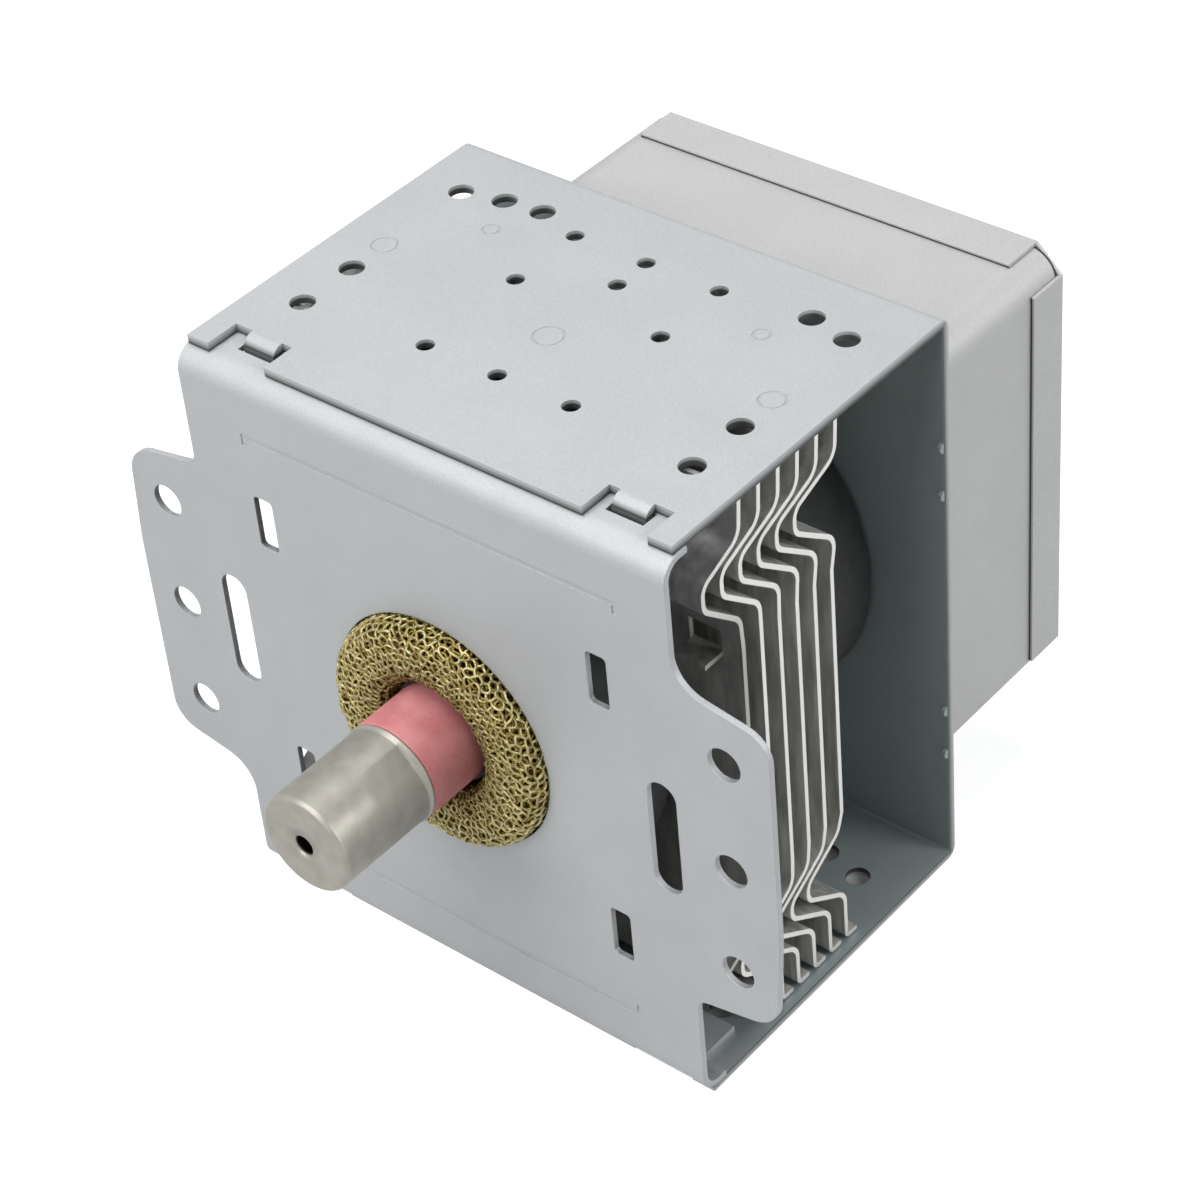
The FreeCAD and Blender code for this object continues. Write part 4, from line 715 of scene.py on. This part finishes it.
def cap_profile():
    """Outer skin from the hole to the foot, then the inner skin back, as (y, r)."""
    edge_y, edge_r = CAP_FRONT + CAP_EDGE, CAP_RADIUS - CAP_EDGE
    foot_y, bore = CAP_FOOT - FOOT_LONG, CAP_RADIUS - CAP_WALL
    side_y = np.linspace(SIDE_FRONT, foot_y, SIDE_STEPS)
    flare = (FOOT_RADIUS - CAP_RADIUS) * smooth_step(side_y, foot_y - FLARE_LONG, foot_y)
    return np.concatenate([
        np.array([[CAP_FRONT, r] for r in FACE_RINGS]),
        corner_arc(edge_y, edge_r, CAP_EDGE, -90, 0, 9),
        np.stack([side_y, CAP_RADIUS + flare], axis=1),
        corner_arc(CAP_FOOT - FOOT_ROUND, FOOT_RADIUS - FOOT_ROUND, FOOT_ROUND, 0, 90, 5),
        np.array([[CAP_FOOT, bore], [BORE_FRONT, bore]]),
        corner_arc(edge_y, edge_r, CAP_EDGE - CAP_WALL, 0, -90, 5),
        np.array([[CAP_FRONT + CAP_WALL, CAP_HOLE]]),
    ])


# %% The cap's flat
FLAT_MIDDLE, FLAT_HALF, FLAT_FADE = 48.0, 20.0, 60.0
FLAT_DEPTH, FLAT_FRONT, FLAT_FULL = 0.49, -19.4, -11.4
FLAT_BACK_FROM, FLAT_BACK_TO = FLAT_FULL - 0.1, CAP_FOOT - 0.25
CAP_STEPS = 240


def flat_share(off):
    """Depth across the flat as a share of its middle; off is the angle from the middle in degrees."""
    edge = 1 / math.cos(math.radians(FLAT_HALF)) - 1
    above = 1 - (1 / np.cos(np.radians(np.clip(off, 0, FLAT_HALF))) - 1) / edge
    below = np.cos(np.radians(90 * np.clip(-off / FLAT_FADE, 0, 1))) ** 2
    return np.where(off > 0, above, below)


def cap_points(profile):
    """Turn the profile about the axis and take the flat's depth off the outer skin."""
    angle = np.linspace(0, 2 * np.pi, CAP_STEPS, endpoint=False)
    y = np.repeat(profile[:, 0][:, None], CAP_STEPS, axis=1)
    r = np.repeat(profile[:, 1][:, None], CAP_STEPS, axis=1)
    off = (np.degrees(angle)[None, :] - FLAT_MIDDLE + 180) % 360 - 180
    rise = np.clip((y - FLAT_FRONT) / (FLAT_FULL - FLAT_FRONT), 0.0, 1.0)
    along = rise * (1 - smooth_step(y, FLAT_BACK_FROM, FLAT_BACK_TO))
    outer = r > CAP_RADIUS - CAP_WALL + 0.01
    r = r - np.where(outer, FLAT_DEPTH * along * flat_share(off), 0.0)
    return np.stack([r * np.cos(angle), y, r * np.sin(angle)], axis=-1)


# %% The cap itself
cap_grid = cap_points(cap_profile())
cap_squares = grid_squares(*cap_grid.shape[:2], True, True)[:, ::-1]
antenna_cap = link_mesh("pressed_cap", cap_grid.reshape(-1, 3), cap_squares)
print("cap reaches from y =", round(cap_grid[..., 1].min(), 2), "to", round(cap_grid[..., 1].max(), 2), "mm")


# %% [markdown]
# ### The cap's nickel
#
# The cap is steel under nickel: warm grey and satin, with a fine even grain and the faintest clouds. It
# could be a full metal, but then it would take its shade only from the white floor and room that it mirrors,
# so it scatters part of its light. The rings that drawing leaves on a thimble are noise stretched thin
# along the axis.


# %% Nickel
def satin_nickel(name, low, high, roughness):
    """Faint clouds and rings over warm grey."""
    made, tree, shader = finish(name, high, 0.58, roughness)
    clouds = ramp(tree, grain(tree, 420.0, 5.0), [(0.28, low), (0.72, high)])
    tree.links.new(clouds, shader.inputs["Base Color"])
    vary_roughness(tree, shader, grain(tree, 700.0, 3.0), 0.02, 0.03)
    rings = grain(tree, 1500.0, 2.0, (0.1, 1.0, 0.1))
    rough_skin(tree, shader, [(rings, 0.005), (grain(tree, 2600.0, 3.0), 0.014)])
    return made


nickel = satin_nickel("satin_nickel", (0.305, 0.288, 0.250), (0.375, 0.356, 0.314), roughness=0.43)
wear([antenna_cap], nickel)
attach(antenna_cap, "root")
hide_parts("antenna_cap")

# %% [markdown]
# ## The knitted gasket
#
# The ring round the ceramic is a stocking of brass wire, knitted and then pressed into a doughnut, so that
# it fills the gap to the oven's wall. What the eye meets is the heads of the stitches: hundreds of rounded
# cells, larger toward the outside, that share their corners. Straight wires laid across each other look
# like a basket, and a bump on a plain ring has no depth at its rim. A honeycomb gives the cells. Each of
# its corners is moved by a chance amount from a table that all the cells read, so neighbours still meet. A
# cell's wire is the smooth closed curve through its six corners, with one half lifted over the next cell.
# Three such layers lie one in another.

# %% Section of the ring
GASKET_MIDDLE, GASKET_HALF = 13.4, 4.94
GASKET_BACK, GASKET_TALL = 0.75, 3.85
SQUARE_ACROSS, SQUARE_TALL = 0.62, 0.55
FINE_STEPS = 600


def section(share, sink):
    """A squared half ellipse: r and y at a share of the way from the inner foot to the outer foot."""
    angle = np.pi * (1.0 - share)
    cosine, sine = np.cos(angle), np.sin(angle)
    r = GASKET_MIDDLE + (GASKET_HALF - sink) * np.sign(cosine) * np.abs(cosine) ** SQUARE_ACROSS
    y = GASKET_BACK - (GASKET_TALL - sink) * np.abs(sine) ** SQUARE_TALL
    return r, y


def even_share(sink, shares):
    """Shares spaced evenly by length along the section instead of by angle."""
    fine = np.linspace(0, 1, FINE_STEPS)
    r, y = section(fine, sink)
    length = np.concatenate([[0], np.cumsum(np.hypot(np.diff(r), np.diff(y)))])
    return np.interp(shares * length[-1], length, fine)


print("the ring is", 2 * GASKET_HALF, "mm wide and", GASKET_TALL, "mm tall")

# %% [markdown]
# ### One stitch
#
# A real stitch is a loop pulled through the one before it. Following that path a thousand times would take
# far more triangles than the eye can use, so a stitch is one closed loop over six shared corners.

# %% One stitch
WIRE_SIDES, POINTS_PER_CORNER = 5, 2
ROUNDNESS = 0.5
CORNERS = np.array([(0, 2), (1, 1), (1, -1), (0, -2), (-1, -1), (-1, 1)])
DEPTH_STRAY = 0.10


def smooth_loop(corners, pull):
    """A closed curve by six corners: between a curve through them and a rounder one inside them."""
    before, after, far = (np.roll(corners, shift, axis=1) for shift in (1, -1, -2))
    t = (np.arange(POINTS_PER_CORNER) / POINTS_PER_CORNER)[None, None, :, None]
    p0, p1, p2, p3 = (side[:, :, None, :] for side in (before, corners, after, far))
    through = 0.5 * (2 * p1 + (p2 - p0) * t + (2 * p0 - 5 * p1 + 4 * p2 - p3) * t**2
                     + (3 * p1 - p0 - 3 * p2 + p3) * t**3)
    inside = ((1 - t)**3 * p0 + (3 * t**3 - 6 * t**2 + 4) * p1
              + (1 + 3 * t + 3 * t**2 - 3 * t**3) * p2 + t**3 * p3) / 6
    return (pull * through + (1 - pull) * inside).reshape(len(corners), -1, corners.shape[-1])


def honeycomb(rng, stitches, courses, stray):
    """The six corners of each cell as (stitch, course, depth), moved by chance amounts that cells share."""
    shifts = rng.normal(0, stray, (2 * stitches, 3 * courses + 4, 2))
    depths = rng.normal(0, DEPTH_STRAY, (2 * stitches, 3 * courses + 4))
    course, stitch = np.meshgrid(np.arange(courses), np.arange(stitches), indexing="ij")
    centre = np.stack([(2 * stitch + course % 2).ravel(), 3 * course.ravel() + 2], axis=-1)
    place = centre[:, None, :] + CORNERS[None]
    column, row = place[..., 0] % (2 * stitches), place[..., 1] + 1
    corners = np.stack([place[..., 0] / 2, place[..., 1] * courses / (3 * courses + 1),
                        depths[column, row]], axis=-1)
    corners[..., :2] += shifts[column, row]
    return corners


# %% [markdown]
# ### A layer of stitches
#
# Two shares lay the loops over the section: the stitch gives the angle round the axis and the course gives
# the way over the ring. All the loops are one array, so a thousand of them take no longer than one.

# %% A layer of stitches
FOOT_SHARE, SLOPE_STEP, FULL_TURN = 0.002, 0.004, 6.28


def loop_layer(seed, sink, stitches, courses, stray, lift):
    """Closed lines (loops, points, 3) over the section, and the outward direction at each point.

    A point's depth is the layer's sink, plus its corners' chance depth, plus the lift times the sine of
    its angle round the loop. Outward is across the section's slope, from two points a small step apart.
    """
    rng = np.random.default_rng(seed)
    curve = smooth_loop(honeycomb(rng, stitches, courses, stray), ROUNDNESS)
    t = np.linspace(0, 2 * np.pi, curve.shape[1], endpoint=False)[None, :]
    depth = sink + curve[..., 2] + lift * np.sin(t + rng.uniform(0, FULL_TURN, (len(curve), 1)))
    around = 2 * np.pi * curve[..., 0] / stitches
    share = even_share(sink, np.clip(curve[..., 1] / courses, FOOT_SHARE, 1 - FOOT_SHARE))
    r, y = section(share, depth)
    ahead_r, ahead_y = section(np.clip(share + SLOPE_STEP, 0, 1), depth)
    back_r, back_y = section(np.clip(share - SLOPE_STEP, 0, 1), depth)
    out_r, out_y = -(ahead_y - back_y), ahead_r - back_r
    lines = np.stack([r * np.cos(around), y, r * np.sin(around)], axis=-1)
    outward = np.stack([out_r * np.cos(around), out_y, out_r * np.sin(around)], axis=-1)
    return lines, unit(outward)


# %% Three layers, one in another
# Each has its seed, sink in mm, stitches round, courses over, stray, lift in mm and wire radius in mm.
LAYERS = {
    "knit_outer": (11, 0.30, 76, 13, 0.16, 0.14, 0.205),
    "knit_middle": (23, 0.64, 80, 14, 0.16, 0.14, 0.190),
    "knit_inner": (37, 0.96, 82, 13, 0.16, 0.13, 0.175),
}
KNIT_FRONT, KNIT_BACK = -3.09, 0.85

stockings = []
for name, (seed, sink, stitches, courses, stray, lift, wire) in LAYERS.items():
    lines, outward = loop_layer(seed, sink, stitches, courses, stray, lift)
    points, squares = round_wires(lines, outward, wire, WIRE_SIDES, True)
    points[:, 1] = np.clip(points[:, 1], KNIT_FRONT, KNIT_BACK)
    stockings.append(link_mesh(name, points, squares))
    print(name, "is", len(lines), "loops")


# %% [markdown]
# ### The heart of the ring
#
# Behind the stockings sits the pressed middle of the ring, too dense to see single wires in. More layers
# of wire would cost many triangles for nothing. It is a plain doughnut of the same section, sunk below the
# knit, in the dark brown of wire that no light reaches.

# %% Heart of the ring
HEART_SINK, HEART_AROUND, HEART_OVER = 1.4, 160, 28
LUMP_TALL, LUMPS_AROUND, LUMPS_LEAN = 0.12, 31, 9


def ring_heart():
    """The section swept round the axis, closed across its back, with low lumps like a rope's."""
    share = even_share(HEART_SINK, np.linspace(0, 1, HEART_OVER))[None, :]
    angle = np.linspace(0, 2 * np.pi, HEART_AROUND, endpoint=False)[:, None]
    r, y = section(share, HEART_SINK)
    lumps = LUMP_TALL * np.abs(np.sin(LUMPS_AROUND * angle + LUMPS_LEAN * share) * np.sin(np.pi * share))
    return np.stack([r * np.cos(angle), y + lumps, r * np.sin(angle)], axis=-1)


heart_grid = ring_heart()
gasket_heart = link_mesh("gasket_heart", heart_grid.reshape(-1, 3),
                         grid_squares(HEART_AROUND, HEART_OVER, True, True))


# %% [markdown]
# ### Brass wire
#
# The wire is dull brass: olive in the hollows, straw where it is rubbed, and darker toward the ceramic,
# partly heat tint from the hot ceramic and partly painted shade. One colour would make the knit look cast in
# one piece, so a slow noise changes the shade from stitch to stitch and a distance from the axis darkens the
# inner rim.


# %% Brass
def from_axis(tree, near_mm, far_mm):
    """Zero within near of the antenna's axis and one beyond far: the root of x squared plus z squared."""
    place = tree.nodes.new("ShaderNodeTexCoord")
    flat = tree.nodes.new("ShaderNodeMapping")
    flat.inputs["Scale"].default_value = (1.0, 0.0, 1.0)
    length = tree.nodes.new("ShaderNodeVectorMath")
    length.operation = "LENGTH"
    tree.links.new(place.outputs["Object"], flat.inputs["Vector"])
    tree.links.new(flat.outputs["Vector"], length.inputs[0])
    return rising(tree, length.outputs["Value"], near_mm, far_mm)


def brass_wire(name, low, high, roughness):
    """Dull brass: olive in the hollows, straw where it is rubbed, heat tint and painted shade toward the
    ceramic.
    """
    made, tree, shader = finish(name, high, 0.65, roughness)
    rubbed = ramp(tree, grain(tree, 700.0, 3.0), [(0.32, low), (0.66, high)])
    # Heat tint and painted shade toward the ceramic.
    tint_and_shade = tuple(part * share for part, share in zip(low, (0.62, 0.55, 0.40)))
    outward = from_axis(tree, 8.5, 13.5)
    tree.links.new(blend_colors(tree, outward, tint_and_shade, rubbed), shader.inputs["Base Color"])
    vary_roughness(tree, shader, grain(tree, 1800.0), 0.08, 0.08)
    rough_skin(tree, shader, [(grain(tree, 9000.0, 2.0), 0.006)])
    return made


outer_brass = brass_wire("brass_wire_outer", (0.265, 0.205, 0.060), (0.555, 0.490, 0.250), roughness=0.42)
inner_brass = brass_wire("brass_wire_inner", (0.225, 0.160, 0.030), (0.345, 0.260, 0.068), roughness=0.5)
dark_brass = speckled("brass_heart", (0.025, 0.016, 0.004), (0.09, 0.06, 0.015), metallic=0.3,
                      roughness=0.6, scale=1400.0, depth_mm=0.2, edge_mm=0.0)
wear(stockings[:1], outer_brass)
wear(stockings[1:], inner_brass)
wear([gasket_heart], dark_brass)
for piece in stockings + [gasket_heart]:
    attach(piece, "root")
    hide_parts("rf_gasket")

# %% [markdown]
# ## The chokes
#
# Two coils of enamelled copper wire sit on ferrite rods inside the filter box. The solids stand in for
# them with ridged sleeves. A winding could be a Screw modifier on a circle, but a helix is easier to fit to
# a box as a formula: the angle grows evenly while the height climbs, so one array of angles gives the whole
# line, and its two ends are closed by fans of triangles.

# %% Windings
COIL_TURNS, COIL_WIRE, COIL_SIDES, STEPS_PER_TURN = 16, 1.36, 10, 40


def winding(name, node):
    """A close helix that fills the box of its solid: middle + radius * (cos a, sin a), climbing evenly."""
    low, high = box_mm(node)
    middle = (low + high) / 2
    radius = (high[0] - low[0] - COIL_WIRE) / 2
    angle = np.linspace(0, 2 * np.pi * COIL_TURNS, COIL_TURNS * STEPS_PER_TURN + 1)
    climb = np.linspace(low[2] + COIL_WIRE / 2, high[2] - COIL_WIRE / 2, len(angle))
    line = np.stack([middle[0] + radius * np.cos(angle), middle[1] + radius * np.sin(angle), climb], axis=-1)
    outward = np.stack([np.cos(angle), np.sin(angle), np.zeros_like(angle)], axis=-1)
    points, squares = round_wires(line[None], outward[None], COIL_WIRE / 2, COIL_SIDES, False)
    first = np.arange(COIL_SIDES)
    last = len(points) - COIL_SIDES + first
    start_point, end_point = np.full(COIL_SIDES, len(points)), np.full(COIL_SIDES, len(points) + 1)
    fans = np.concatenate([np.stack([np.roll(first, -1), first, start_point], axis=1),
                           np.stack([last, np.roll(last, -1), end_point], axis=1)])
    print(name, "takes", round(2 * np.pi * radius * COIL_TURNS), "mm of wire")
    return link_mesh(name, np.concatenate([points, line[[0, -1]]]), squares, fans)


enamel = speckled("enamelled_wire", (0.34, 0.10, 0.04), (0.52, 0.18, 0.07), metallic=0.75,
                  roughness=0.26, scale=500.0, depth_mm=0.004)
wear(["choke_tails"], enamel)
for hand in ("left", "right"):
    coil = winding("choke_coil_" + hand, "choke_winding_" + hand)
    wear([coil], enamel)
    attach(coil, "root")
    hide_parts("choke_winding_" + hand)

# %% [markdown]
# ## The floor
#
# A wide pale sheet lies under the yoke. It scatters light like paper and keeps the object's soft shadow. A
# lamp bright enough to make it white would bleach the metal too. So it also glows up to white for the
# camera's rays, and a little less for mirror-like ones, but not in the dark under the yoke, where the glow
# fades out by the distance inside the yoke's footprint.

# %% Floor
FLOOR_HALF = 3000
PAPER, PAPER_ROUGH = (0.5, 0.5, 0.5), 0.9

floor_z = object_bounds()[0][2] / MM
floor_corners = FLOOR_HALF * np.array([[-1, -1, 0], [1, -1, 0], [1, 1, 0], [-1, 1, 0]]) + [0, 0, floor_z]
floor = link_mesh("floor", floor_corners, np.array([[0, 1, 2, 3]]), smooth=False)
paper, paper_tree, paper_shader = finish("pale_paper", PAPER, 0.0, PAPER_ROUGH)
paper_shader.inputs["Specular IOR Level"].default_value = 0.0

# %% Glow of the floor
GLOW, MIRRORED_GLOW, GLOW_FADE = 0.8, 0.75, 4.0

foot_middle, foot_half = (yoke_low + yoke_high) / 2, (yoke_high - yoke_low) / 2
past_sides = distance_past(paper_tree, "X", foot_middle[0], foot_half[0])
past_ends = distance_past(paper_tree, "Y", foot_middle[1], foot_half[1])
in_the_open = rising(paper_tree, join(paper_tree, "MAXIMUM", past_sides, past_ends), -GLOW_FADE, 0.0)
seen_in_open = times(paper_tree, seen_directly(paper_tree, MIRRORED_GLOW), in_the_open)
glow = paper_tree.nodes.new("ShaderNodeEmission")
paper_tree.links.new(times(paper_tree, seen_in_open, GLOW), glow.inputs["Strength"])
lit_and_glowing = paper_tree.nodes.new("ShaderNodeAddShader")
paper_tree.links.new(paper_shader.outputs[0], lit_and_glowing.inputs[0])
paper_tree.links.new(glow.outputs[0], lit_and_glowing.inputs[1])
paper_tree.links.new(lit_and_glowing.outputs[0], paper_tree.nodes["Material Output"].inputs["Surface"])
wear([floor], paper)
print("the yoke stands on", (2 * foot_half)[:2].round(1), "mm of paper")

# %% [markdown]
# ## Colours as written
#
# The Standard transform shows a colour about as it was typed.

# %% Finish
bpy.context.scene.view_settings.view_transform = "Standard"
